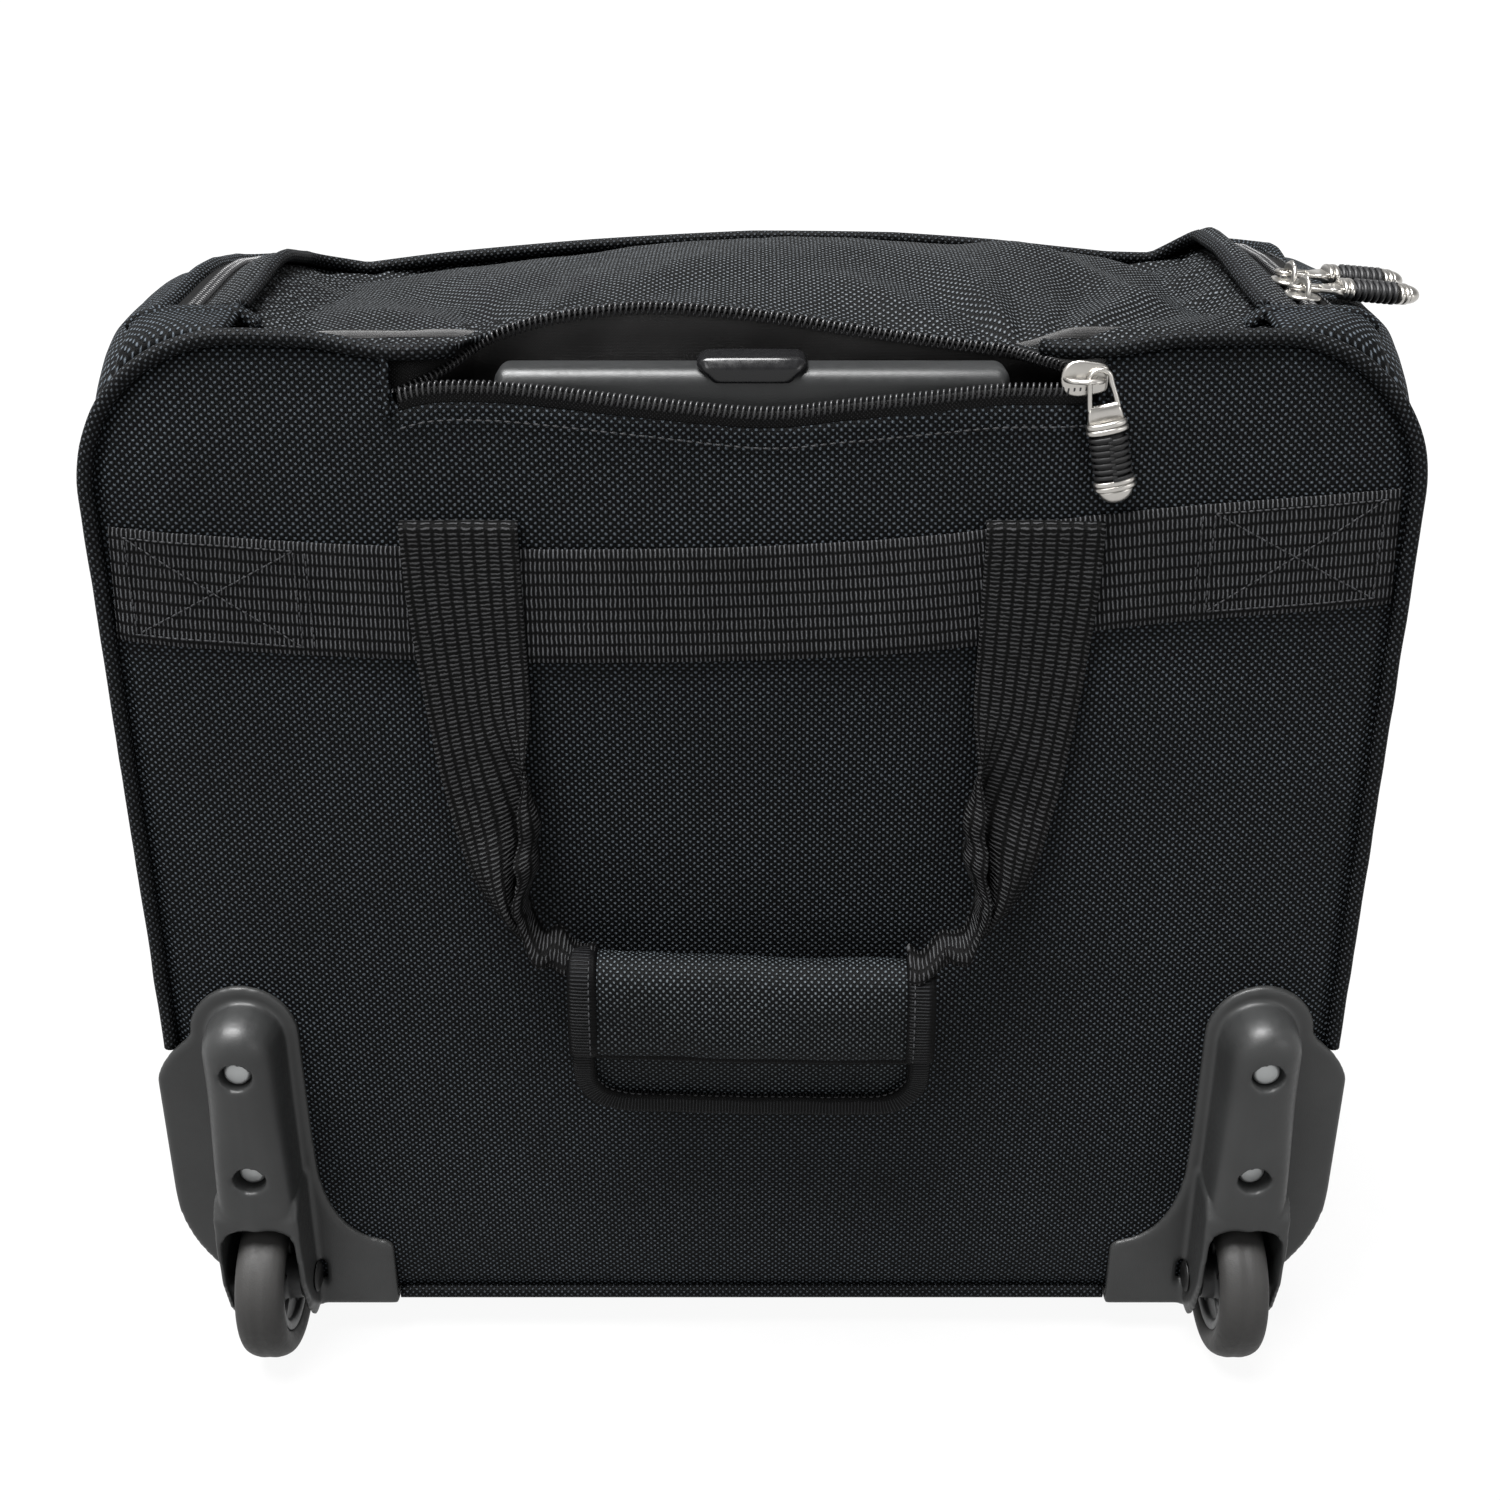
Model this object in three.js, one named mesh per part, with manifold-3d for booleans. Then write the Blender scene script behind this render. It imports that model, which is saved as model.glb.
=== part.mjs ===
// A rolling laptop case that stands on two rear wheels and two front feet.
// Millimetres, +Z up, the wheel side of the case faces -Y. The origin is on the floor, under the middle of the case.
import * as THREE from "three";
import { mergeVertices } from "three/addons/utils/BufferGeometryUtils.js";
import Module from "manifold-3d";

const wasm = await Module();
wasm.setup();

// ---- Driving dimensions ----
const GAP = 0.3; // clearance between pieces that touch on the real case

const BODY = { half: 218.5, base: 18, top: 400, back: -80, front: 103, wall: 4 };
const CORNER = { base: 46, top: 52 };
const FRONT_TOP = { corner: 44, crown: 3 };

// The padded top swells between the two panels: each row is y, height, corner radius, crown of the middle.
const SWELL = [
  [BODY.back + 4.7, 400, 52, 0.2],
  [-68, 400.4, 38, 0.5],
  [-60, 401, 30, 1],
  [-50, 401.6, 23, 2],
  [-40, 402.2, 18, 3.5],
  [-10, 404.6, 16, 7],
  [20, 406.6, 16, 9],
  [50, 407, 18, 9.5],
  [75, 405, 24, 7],
  [90, 402, 34, 4.5],
  [BODY.front - 4.7, 400, 44, 3],
];

const PIPING = { radius: 3.2, out: 0.6, back: BODY.back + 1.1, front: BODY.front - 1.1 };

const MOUTH = { left: -116, right: 112, front: -50.4, clear: 88 }; // the open zipped mouth of the handle pocket
const HINGE = { y: -47, z: 405 }; // the fold line that the lid turns about
const LID = { half: 181, front: 78, corner: 30, tape: 4.7 };

const ZIP = { x: LID.half + LID.tape + 1.5 * GAP, lift: 1.6 };
const MAIN_SLIDERS = [
  ["main_a", -35],
  ["main_b", -17],
];
const PULL_TILT = THREE.MathUtils.degToRad(12); // the rear pull rests a little askew on the fabric

const WHEEL = { x: 189, y: -86, radius: 31, half: 11.8, hub: 20.5, bore: 4.3 };
const HOUSING = {
  skin: 3.5,
  wrap: 6.5,
  corner: 56,
  foot: 142,
  wingTop: 122,
  wingFront: -44,
  cheek: 16.2,
  slot: 14,
};
const RIB = { half: 14.5, depth: 20, top: 142 };
const RIVETS = [
  { name: "upper", z: 136, seat: -96 },
  { name: "lower", z: 90, seat: -94 },
];

const TUBE = { x: 62, y: -65, wall: 1 };
const TUBES = {
  outer: { width: 24, depth: 15, low: 28.3, high: 359.7 },
  mid: { width: 21.4, depth: 12.4, low: 34, high: 363.2 },
  inner: { width: 18.8, depth: 9.8, low: 40, high: 369.5 },
};
const GRIP = { half: 84, back: -75, front: -55, low: 364, high: 389 };
const BUTTON = { half: 19, back: -75.6, front: -58.4, low: 384.6, high: 393.2 };

const BAND = { width: 40, thick: 3 }; // the wide webbing sewn across each face
const STRAP = { inner: 77, outer: 117, thick: 2.5, fold: 338.5 };

// ---- Materials ----
const finish = (color, roughness, metalness = 0) =>
  new THREE.MeshStandardMaterial({ color, roughness, metalness });
const FABRIC = finish(0x17181a, 0.85);
const WEBBING = finish(0x141517, 0.8);
const LINING = finish(0x1b1c1f, 0.7);
const BOARD = finish(0x222326, 0.6);
const MOULDED = finish(0x2b2c2e, 0.5);
const GRIP_PLASTIC = finish(0x2a2b2d, 0.4);
const TYRE = finish(0x2c2b2a, 0.6);
const RUBBER = finish(0x151515, 0.65);
const NICKEL = finish(0xb9b6b0, 0.25, 1);
const STEEL = finish(0xa9a9a8, 0.35, 1);
const ALUMINIUM = finish(0x8f9194, 0.35, 1);

// ---- Solids: booleans between closed geometries ----
function toSolid(geometry) {
  const bare = geometry.index ? geometry.toNonIndexed() : geometry.clone();
  bare.deleteAttribute("normal");
  bare.deleteAttribute("uv");
  const merged = mergeVertices(bare, 1e-4);
  return new wasm.Manifold(
    new wasm.Mesh({
      numProp: 3,
      vertProperties: merged.attributes.position.array,
      triVerts: new Uint32Array(merged.index.array),
    }),
  );
}

function toGeometry(solid) {
  const mesh = solid.getMesh();
  const geometry = new THREE.BufferGeometry();
  geometry.setAttribute("position", new THREE.BufferAttribute(mesh.vertProperties, 3));
  geometry.setIndex(new THREE.BufferAttribute(mesh.triVerts, 1));
  geometry.computeVertexNormals();
  return geometry;
}

const cut = (base, ...tools) => tools.reduce((left, tool) => left.subtract(tool), base);
const join = (first, ...rest) => rest.reduce((sum, piece) => sum.add(piece), first);

// A flat outline given in (x, z), made solid between two values of y.
function slab(shape, low, high, options = {}) {
  const { bevel = 0, segments = 6 } = options;
  const geometry = new THREE.ExtrudeGeometry(shape, {
    depth: high - low - 2 * bevel,
    curveSegments: segments,
    bevelEnabled: bevel > 0,
    bevelThickness: bevel,
    bevelSize: bevel,
    bevelOffset: -bevel,
    bevelSegments: 2,
  });
  return toSolid(geometry.rotateX(Math.PI / 2).translate(0, high - bevel, 0));
}

// A flat outline given in (x, y), made solid between two values of z.
function post(shape, low, high, segments = 6) {
  const settings = { depth: high - low, bevelEnabled: false, curveSegments: segments };
  return toSolid(new THREE.ExtrudeGeometry(shape, settings).translate(0, 0, low));
}

// A flat outline given in (y, z), made solid between two values of x.
function bar(shape, low, high, segments = 6) {
  const settings = { depth: high - low, bevelEnabled: false, curveSegments: segments };
  const turn = new THREE.Matrix4().makeBasis(
    new THREE.Vector3(0, 1, 0),
    new THREE.Vector3(0, 0, 1),
    new THREE.Vector3(1, 0, 0),
  );
  return toSolid(new THREE.ExtrudeGeometry(shape, settings).applyMatrix4(turn).translate(low, 0, 0));
}

function block(x, y, z) {
  const size = [x, y, z].map(([low, high]) => high - low);
  const middle = [x, y, z].map(([low, high]) => (low + high) / 2);
  return toSolid(new THREE.BoxGeometry(...size).translate(...middle));
}

const around = (centre, half) => [centre - half, centre + half];

// A cylinder along "x", "y" or "z", centred on a point.
function rod(axis, radius, length, [x, y, z], sides = 20) {
  const geometry = new THREE.CylinderGeometry(radius, radius, length, sides);
  if (axis === "x") geometry.rotateZ(Math.PI / 2);
  if (axis === "z") geometry.rotateX(Math.PI / 2);
  return toSolid(geometry.translate(x, y, z));
}

// A turned piece about the X axis, from pairs of (radius, distance along the axis).
function turned(profile, sides) {
  const points = profile.map(([radius, along]) => new THREE.Vector2(radius, along));
  return toSolid(new THREE.LatheGeometry(points, sides).rotateZ(-Math.PI / 2));
}

const polygon = (pairs) => new THREE.Shape(pairs.map(([a, b]) => new THREE.Vector2(a, b)));

function roundRect(half, low, high, radius) {
  return outline({ half, base: low, top: high }, { base: radius, top: radius }, 0);
}

// The case's own outline, seen from behind: rounded corners and a slightly crowned top.
function outline({ half, base, top }, corner, crown) {
  const shape = new THREE.Shape();
  shape.moveTo(-half + corner.base, base);
  shape.lineTo(half - corner.base, base);
  shape.absarc(half - corner.base, base + corner.base, corner.base, -Math.PI / 2, 0, false);
  shape.lineTo(half, top - corner.top);
  shape.absarc(half - corner.top, top - corner.top, corner.top, 0, Math.PI / 2, false);
  if (crown) shape.quadraticCurveTo(0, top + 2 * crown, -half + corner.top, top);
  else shape.lineTo(-half + corner.top, top);
  shape.absarc(-half + corner.top, top - corner.top, corner.top, Math.PI / 2, Math.PI, false);
  shape.lineTo(-half, base + corner.base);
  shape.absarc(-half + corner.base, base + corner.base, corner.base, Math.PI, 1.5 * Math.PI, false);
  return shape;
}

// The back panel's outline grown by an amount, or shrunk by a negative one.
function bodyOutline(grow, topCorner = CORNER.top, crown = 0) {
  const size = { half: BODY.half + grow, base: BODY.base - grow, top: BODY.top + grow };
  return outline(size, { base: CORNER.base + grow, top: topCorner + grow }, crown);
}

// The swell of the top at a given y, between the rows of the table.
function swellAt(y) {
  const next = Math.max(1, SWELL.findIndex(([rowY]) => rowY >= y));
  const [before, after] = [SWELL[next - 1], SWELL[next]];
  const share = (y - before[0]) / (after[0] - before[0]);
  const [, top, corner, crown] = before.map((value, i) => value + share * (after[i] - value));
  return { top, corner, crown };
}

// Height of the body's outer surface at a given x and y, on the top.
function surfaceZ(x, y) {
  const { top, corner, crown } = swellAt(y);
  const flat = BODY.half - corner;
  const beyond = Math.abs(x) - flat;
  if (beyond <= 0) return top + crown * (1 - (x / flat) ** 2);
  return top - corner + Math.sqrt(corner ** 2 - beyond ** 2);
}

// A skin between an outer and an inner row of rings, given as points along matching outlines.
function skin(outer, inner) {
  const count = outer[0].length;
  const position = [...outer, ...inner].flat(2);
  const index = [];
  const quad = (a, b, c, d) => index.push(a, c, b, a, d, c);
  const last = outer.length - 1;
  const at = (ring, i) => ring * count + (i % count);
  const within = (ring, i) => at(outer.length + ring, i);
  for (let i = 0; i < count; i++) {
    for (let ring = 0; ring < last; ring++) {
      quad(at(ring, i), at(ring, i + 1), at(ring + 1, i + 1), at(ring + 1, i));
      quad(within(ring, i + 1), within(ring, i), within(ring + 1, i), within(ring + 1, i + 1));
    }
    quad(at(0, i + 1), at(0, i), within(0, i), within(0, i + 1));
    quad(at(last, i), at(last, i + 1), within(last, i + 1), within(last, i));
  }
  const geometry = new THREE.BufferGeometry();
  geometry.setAttribute("position", new THREE.Float32BufferAttribute(position, 3));
  geometry.setIndex(index);
  return toSolid(geometry);
}

// The shell's rings, one for each row of the swell, pulled in by a wall.
function swellRings(inset) {
  return SWELL.map(([y, top, corner, crown]) => {
    const size = { half: BODY.half - inset, base: BODY.base + inset, top: top - inset };
    const corners = { base: CORNER.base - inset, top: corner - inset };
    const ring = outline(size, corners, crown).getPoints(5);
    const closed = ring[0].distanceTo(ring[ring.length - 1]) < 1e-6;
    if (closed) ring.pop();
    return ring.map((p) => [p.x, y, p.y]);
  });
}

// ---- Cords: a round section carried along a row of points ----
// The row lies across "axis", and each section is drawn by that axis and the row's own sideways direction.
function cord(points, axis, radius, { sides = 6, closed = false } = {}) {
  const count = points.length;
  const neighbour = (i) => (closed ? points[(i + count) % count] : points[Math.min(count - 1, Math.max(0, i))]);
  const index = [];
  const position = points.flatMap((point, i) => {
    const along = neighbour(i + 1).clone().sub(neighbour(i - 1));
    const sideways = along.cross(axis).normalize();
    return Array.from({ length: sides }, (_, corner) => {
      const angle = (2 * Math.PI * corner) / sides;
      const offset = sideways.clone().multiplyScalar(radius * Math.cos(angle));
      offset.addScaledVector(axis, radius * Math.sin(angle));
      return point.clone().add(offset).toArray();
    }).flat();
  });
  const at = (ring, corner) => (ring % count) * sides + (corner % sides);
  for (let ring = 0; ring < count - (closed ? 0 : 1); ring++) {
    for (let corner = 0; corner < sides; corner++) {
      const [a, b] = [at(ring, corner), at(ring, corner + 1)];
      const [c, d] = [at(ring + 1, corner + 1), at(ring + 1, corner)];
      index.push(a, c, b, a, d, c);
    }
  }
  for (let corner = 1; corner < sides - 1 && !closed; corner++) {
    index.push(at(0, 0), at(0, corner), at(0, corner + 1));
    index.push(at(count - 1, 0), at(count - 1, corner + 1), at(count - 1, corner));
  }
  const geometry = new THREE.BufferGeometry();
  geometry.setAttribute("position", new THREE.Float32BufferAttribute(position, 3));
  geometry.setIndex(index);
  return toSolid(geometry);
}

const Y_AXIS = new THREE.Vector3(0, 1, 0);
const Z_AXIS = new THREE.Vector3(0, 0, 1);

// The right-hand run of back piping, from beside the pocket's mouth down to the wheel housing.
function sidePiping(mouthX) {
  const half = BODY.half + PIPING.out;
  const high = BODY.top + PIPING.out;
  const corner = CORNER.top + PIPING.out;
  const path = new THREE.Path();
  path.moveTo(mouthX, high);
  path.lineTo(half - corner, high);
  path.absarc(half - corner, high - corner, corner, Math.PI / 2, 0, true);
  path.lineTo(half, HOUSING.wingTop - 8);
  const points = path.getPoints(6).map((p) => new THREE.Vector3(p.x, PIPING.back, p.y));
  const housing = slab(housingOutline(), -90, -70).translate([0.4, 0, 0.4]);
  return cut(cord(points, Y_AXIS, PIPING.radius, { sides: 8 }), housing);
}

function basePiping() {
  const at = [0, PIPING.back, BODY.base - PIPING.out];
  return rod("x", PIPING.radius, 2 * (HOUSING.foot - GAP), at, 8);
}

function frontPiping() {
  const path = bodyOutline(PIPING.out, FRONT_TOP.corner, FRONT_TOP.crown);
  const points = path.getPoints(5).map((p) => new THREE.Vector3(p.x, PIPING.front, p.y));
  if (points[0].distanceTo(points[points.length - 1]) < 1e-6) points.pop();
  return cord(points, Y_AXIS, PIPING.radius, { closed: true });
}

// ---- The fabric body ----
function mouthLipPath() {
  const { left, right, front, clear } = MOUTH;
  const path = new THREE.Path();
  path.moveTo(right, -76);
  path.bezierCurveTo(right - 5, -60, clear + 8, front, clear, front);
  path.lineTo(-clear, front);
  path.bezierCurveTo(-clear - 10, front, left + 5, -60, left, -76);
  return path;
}
const mouthLip = mouthLipPath();

const lowerLip = new THREE.CubicBezierCurve(
  new THREE.Vector2(MOUTH.left, 386),
  new THREE.Vector2(-50, 385),
  new THREE.Vector2(30, 372),
  new THREE.Vector2(MOUTH.right, 383),
);

// The part of the top that the handle pocket's mouth takes away, seen from above.
function mouthFromAbove() {
  const shape = new THREE.Shape();
  shape.moveTo(MOUTH.left, -95);
  shape.lineTo(MOUTH.right, -95);
  mouthLip.getPoints(7).forEach((p) => shape.lineTo(p.x, p.y));
  return post(shape, 370, 430);
}

// The part of the back panel that the mouth takes away, seen from behind.
function mouthFromBehind() {
  const shape = new THREE.Shape();
  shape.moveTo(MOUTH.left, 430);
  lowerLip.getPoints(14).forEach((p) => shape.lineTo(p.x, p.y));
  shape.lineTo(MOUTH.right, 430);
  return slab(shape, -95, -75.8);
}

// A strip beside a curve: the curve's points moved by two offsets of the second coordinate.
function stripBeside(curve, near, far, divisions = 14) {
  const points = curve.getPoints(divisions);
  const there = points.map((p) => [p.x, p.y + near]);
  const back = points.map((p) => [p.x, p.y + far]).reverse();
  return polygon([...there, ...back]);
}

// The lid's plan, grown by an amount on its two sides and its front.
function lidPlan(grow, back = HINGE.y + GAP) {
  const half = LID.half + grow;
  const front = LID.front + grow;
  const corner = LID.corner + grow;
  const shape = new THREE.Shape();
  shape.moveTo(-half, back);
  shape.lineTo(half, back);
  shape.lineTo(half, front - corner);
  shape.absarc(half - corner, front - corner, corner, 0, Math.PI / 2, false);
  shape.lineTo(-half + corner, front);
  shape.absarc(-half + corner, front - corner, corner, Math.PI / 2, Math.PI, false);
  return shape;
}

const lidPrism = (grow, back) => post(lidPlan(grow, back), 340, 430, 5);

const wheelWells = [-1, 1].map((side) => block(around(side * WHEEL.x, 19.8), [-90, -49.4], [5, 72]));

const shell = skin(swellRings(0), swellRings(BODY.wall));

function gussetShell() {
  return cut(shell, lidPrism(2 * (LID.tape + GAP) + GAP, HINGE.y), mouthFromAbove(), ...wheelWells);
}

function lidTape(start) {
  return lidPrism(start + LID.tape).subtract(lidPrism(start, HINGE.y - 5)).intersect(shell);
}

function lidCord() {
  const { half, front, corner } = { half: LID.half - 5, front: LID.front - 5, corner: LID.corner - 5 };
  const plan = new THREE.Path();
  plan.moveTo(half, HINGE.y + 3);
  plan.lineTo(half, front - corner);
  plan.absarc(half - corner, front - corner, corner, 0, Math.PI / 2, false);
  plan.lineTo(-half + corner, front);
  plan.absarc(-half + corner, front - corner, corner, Math.PI / 2, Math.PI, false);
  plan.lineTo(-half, HINGE.y + 3);
  const flat = plan.getPoints(5);
  const path = flat.flatMap((p, i) => {
    const next = flat[i + 1];
    const steps = next ? Math.ceil(p.distanceTo(next) / 25) : 1;
    return Array.from({ length: steps }, (_, step) => (next ? p.clone().lerp(next, step / steps) : p));
  });
  const points = path.map((p) => new THREE.Vector3(p.x, p.y, surfaceZ(p.x, p.y) + 2.9));
  return cord(points, Z_AXIS, 2);
}

// The centre line of the wide webbing band on the back, which sags between its sewn ends.
const bandLine = new THREE.SplineCurve(
  [
    [-213, 318],
    [-113, 312.5],
    [0, 311],
    [77, 316],
    [118, 324],
    [213, 331],
  ].map(([x, z]) => new THREE.Vector2(x, z)),
);

// ---- Wheel housing, built for the right-hand side ----
function housingOutline() {
  const low = BODY.base - GAP - HOUSING.skin;
  const side = BODY.half + GAP + HOUSING.wrap;
  const centre = [side - HOUSING.corner, low + HOUSING.corner];
  const shape = new THREE.Shape();
  shape.moveTo(HOUSING.foot, low);
  shape.lineTo(HOUSING.foot, 41);
  shape.quadraticCurveTo(HOUSING.foot, 45, HOUSING.foot + 4, 45.5);
  shape.bezierCurveTo(160, 48, 168.5, 62, 169, 86);
  shape.lineTo(169.5, RIB.top);
  shape.absarc(190, RIB.top, 20.5, Math.PI, 0, true);
  shape.bezierCurveTo(212, 138, 222, 134, side, HOUSING.wingTop);
  shape.lineTo(side, centre[1]);
  shape.absarc(...centre, HOUSING.corner, 0, -Math.PI / 2, true);
  return shape;
}

function housingFlange() {
  return slab(housingOutline(), BODY.back - GAP - HOUSING.skin, BODY.back - GAP, { segments: 8 });
}

function housingWing() {
  const low = BODY.base - GAP - HOUSING.skin;
  const size = { half: BODY.half + GAP + HOUSING.wrap, base: low, top: BODY.top + 9 };
  const outside = outline(size, { base: HOUSING.corner, top: HOUSING.corner }, 0);
  const wrap = cut(
    slab(outside, BODY.back - GAP - 1, HOUSING.wingFront, { segments: 8 }),
    slab(bodyOutline(GAP), BODY.back - 10, HOUSING.wingFront + 5, { segments: 8 }),
  );
  const sideView = new THREE.Shape();
  sideView.moveTo(-90, HOUSING.wingTop);
  sideView.lineTo(-74, HOUSING.wingTop);
  sideView.quadraticCurveTo(HOUSING.wingFront, 112, HOUSING.wingFront, 76);
  sideView.lineTo(HOUSING.wingFront, 5);
  sideView.lineTo(-90, 5);
  return wrap.intersect(bar(sideView, HOUSING.foot, BODY.half + 20));
}

function housingRib() {
  const back = BODY.back - GAP - HOUSING.skin;
  const half = new THREE.Shape();
  half.absellipse(WHEEL.x, back, RIB.half, RIB.depth, Math.PI, 2 * Math.PI, false, 0);
  const dome = new THREE.SphereGeometry(1, 20, 14).scale(RIB.half, RIB.depth, RIB.half);
  const behind = block([150, 230], [-140, back + 1], [60, 200]);
  return post(half, 58, RIB.top, 16)
    .translate([0, 0.01, 0])
    .add(toSolid(dome.translate(WHEEL.x, back, RIB.top)).intersect(behind));
}

function housingFork() {
  const back = BODY.back - GAP - HOUSING.skin - RIB.depth;
  const low = BODY.base - GAP - HOUSING.skin;
  const sideView = polygon([
    [-50, low],
    [-91, low + 1],
    [-98, 25],
    [back + 1, 40],
    [back, 56],
    [back + 0.6, 71],
    [back + 5, 78],
    [-84, 81],
    [-84, 70],
    [-50, 70],
  ]);
  return bar(sideView, WHEEL.x - HOUSING.cheek, WHEEL.x + HOUSING.cheek);
}

function wheelHousing() {
  const slot = new THREE.Shape();
  slot.moveTo(WHEEL.x - HOUSING.slot, -5);
  slot.lineTo(WHEEL.x + HOUSING.slot, -5);
  slot.lineTo(WHEEL.x + HOUSING.slot, 57);
  slot.quadraticCurveTo(WHEEL.x + HOUSING.slot, 65.8, WHEEL.x + HOUSING.slot - 9, 65.8);
  slot.lineTo(WHEEL.x - HOUSING.slot + 9, 65.8);
  slot.quadraticCurveTo(WHEEL.x - HOUSING.slot, 65.8, WHEEL.x - HOUSING.slot, 57);
  const axleAt = [WHEEL.x, WHEEL.y, WHEEL.radius];
  const headRecess = (side) => [WHEEL.x + side * (HOUSING.cheek + 1.5), WHEEL.y, WHEEL.radius];
  const rivetHoles = RIVETS.flatMap(({ z, seat }) => [
    rod("y", 5.6, 30, [WHEEL.x, seat - 15, z]),
    rod("y", 2.6, 60, [WHEEL.x, -90, z], 12),
  ]);
  return cut(
    join(housingFlange(), housingWing(), housingRib(), housingFork()),
    slab(slot, -130, -52.2),
    rod("x", WHEEL.bore, 2 * HOUSING.cheek + 1, axleAt, 24),
    rod("x", 7, 3, headRecess(-1)),
    rod("x", 7, 3, headRecess(1)),
    ...rivetHoles,
  );
}

// ---- Wheel parts, centred on the axle ----
const tyre = () =>
  turned(
    [
      [20.8, -7.4],
      [24.5, -9.3],
      [28, -8.2],
      [30.2, -4.8],
      [31, 0],
      [30.2, 4.8],
      [28, 8.2],
      [24.5, 9.3],
      [20.8, 7.4],
      [20.8, -7.4],
    ],
    30,
  );

const hub = () =>
  turned(
    [
      [WHEEL.bore, -WHEEL.half],
      [8.5, -WHEEL.half],
      [10, -6],
      [17.5, -6],
      [WHEEL.hub, -7.4],
      [WHEEL.hub, 7.4],
      [17.5, 6],
      [10, 6],
      [8.5, WHEEL.half],
      [WHEEL.bore, WHEEL.half],
      [WHEEL.bore, -WHEEL.half],
    ],
    24,
  );

function axle() {
  const pin = WHEEL.bore - GAP;
  const cheek = HOUSING.cheek + GAP;
  return turned(
    [
      [0, -cheek - 1.8],
      [6.2, -cheek - 1.8],
      [6.2, -cheek],
      [pin, -cheek],
      [pin, cheek],
      [6.2, cheek],
      [6.2, cheek + 1.8],
      [0, cheek + 1.8],
    ],
    20,
  );
}

// A rivet along Y: its head sits in the rib's recess and its tail is set inside the case.
function rivet(seat) {
  const points = [
    [0, seat - GAP - 2.6],
    [3.4, seat - GAP - 2.2],
    [5, seat - GAP - 1.2],
    [5, seat - GAP],
    [2.2, seat - GAP],
    [2.2, -75.6],
    [4.6, -75.6],
    [4.6, -74.2],
    [0, -74.2],
  ].map(([radius, y]) => new THREE.Vector2(radius, y));
  return new THREE.LatheGeometry(points, 12);
}

// ---- Telescoping handle ----
const tubeSection = (spec, grow) => ({
  width: around(0, spec.width / 2 + grow),
  depth: around(0, spec.depth / 2 + grow),
});

function box3(section, x, y, z) {
  const shift = ([low, high], by) => [low + by, high + by];
  return block(shift(section.width, x), shift(section.depth, y), z);
}

function hollowTube(spec) {
  const outer = box3(tubeSection(spec, 0), 0, 0, [spec.low, spec.high]);
  const bore = box3(tubeSection(spec, -TUBE.wall), 0, 0, [spec.low - 5, spec.high + 5]);
  return cut(outer, bore);
}

const tubeHoles = (spec, grow, z) =>
  [-1, 1].map((side) => box3(tubeSection(spec, grow), side * TUBE.x, TUBE.y, z));

function handleCollar() {
  const plate = slab(roundRect(GRIP.half, 346, 360, 3), GRIP.back, -53.5);
  return cut(plate, ...tubeHoles(TUBES.outer, GAP, [340, 365]));
}

function handleBracket() {
  const base = block(around(0, 80), [-74.5, -52], [24.6, 44]);
  return cut(base, ...tubeHoles(TUBES.outer, GAP, [28, 50]));
}

function handleGrip() {
  const body = slab(roundRect(GRIP.half, GRIP.low, GRIP.high, 7), GRIP.back, GRIP.front, { bevel: 2.5 });
  return cut(
    body,
    ...tubeHoles(TUBES.inner, GAP, [360, 369.9]),
    block(around(0, 72), around(TUBE.y, 3.6), [369.6, 378.6]),
    block(around(0, BUTTON.half + 0.4), [-80, BUTTON.front + 0.4], [380.2, 395]),
    block(around(0, 4.6), around(TUBE.y, 3.4), [378, 381]),
    rod("z", 4.6, 9, [0, TUBE.y, 370.5]),
  );
}

function handleButton() {
  const cap = block(around(0, BUTTON.half), [BUTTON.back, BUTTON.front], [BUTTON.low, BUTTON.high]);
  const chamfer = bar(
    polygon([
      [-80, 390],
      [-73, 396],
      [-80, 396],
    ]),
    -30,
    30,
  );
  const stem = block(around(0, 4), around(TUBE.y, 3), [378.4, BUTTON.low + 1]);
  return join(cut(cap, chamfer), stem);
}

// The bar under the button and the two rods that it pushes down the inner tubes.
function releaseFrame() {
  const crossbar = block(around(0, 66), around(TUBE.y, 3), [374.2, 378.1]);
  const rods = [-1, 1].map((side) => rod("z", 2, 316, [side * TUBE.x, TUBE.y, 218], 10));
  return join(crossbar, ...rods);
}

function buttonSpring() {
  const turns = 3;
  const steps = 13 * turns;
  const points = Array.from({ length: steps + 1 }, (_, i) => {
    const angle = (2 * Math.PI * turns * i) / steps;
    const height = 366.9 + (6.4 * i) / steps;
    return new THREE.Vector3(3.2 * Math.cos(angle), TUBE.y + 3.2 * Math.sin(angle), height);
  });
  return cord(points, Z_AXIS, 0.6, { sides: 5 });
}

// ---- Zip slider and pull: the track runs along X, the face looks along +Z, the pull hangs along -Y ----
const POST_X = 4.6; // the bridge's foot that the pull's ring turns about

function slider() {
  const plate = new THREE.Shape();
  plate.moveTo(-7.5, -4);
  plate.bezierCurveTo(-5, -6, 3, -5.5, 7.5, -4.6);
  plate.lineTo(7.5, 4.6);
  plate.bezierCurveTo(3, 5.5, -5, 6, -7.5, 4);
  const foot = (x) => block(around(x, 1), around(0, 1.2), [1, 5]);
  const bridge = block([-POST_X - 1, POST_X + 1], around(0, 1.2), [4.8, 6.4]);
  return join(post(plate, 0, 1.6, 4), foot(-POST_X), foot(POST_X), bridge);
}

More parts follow.
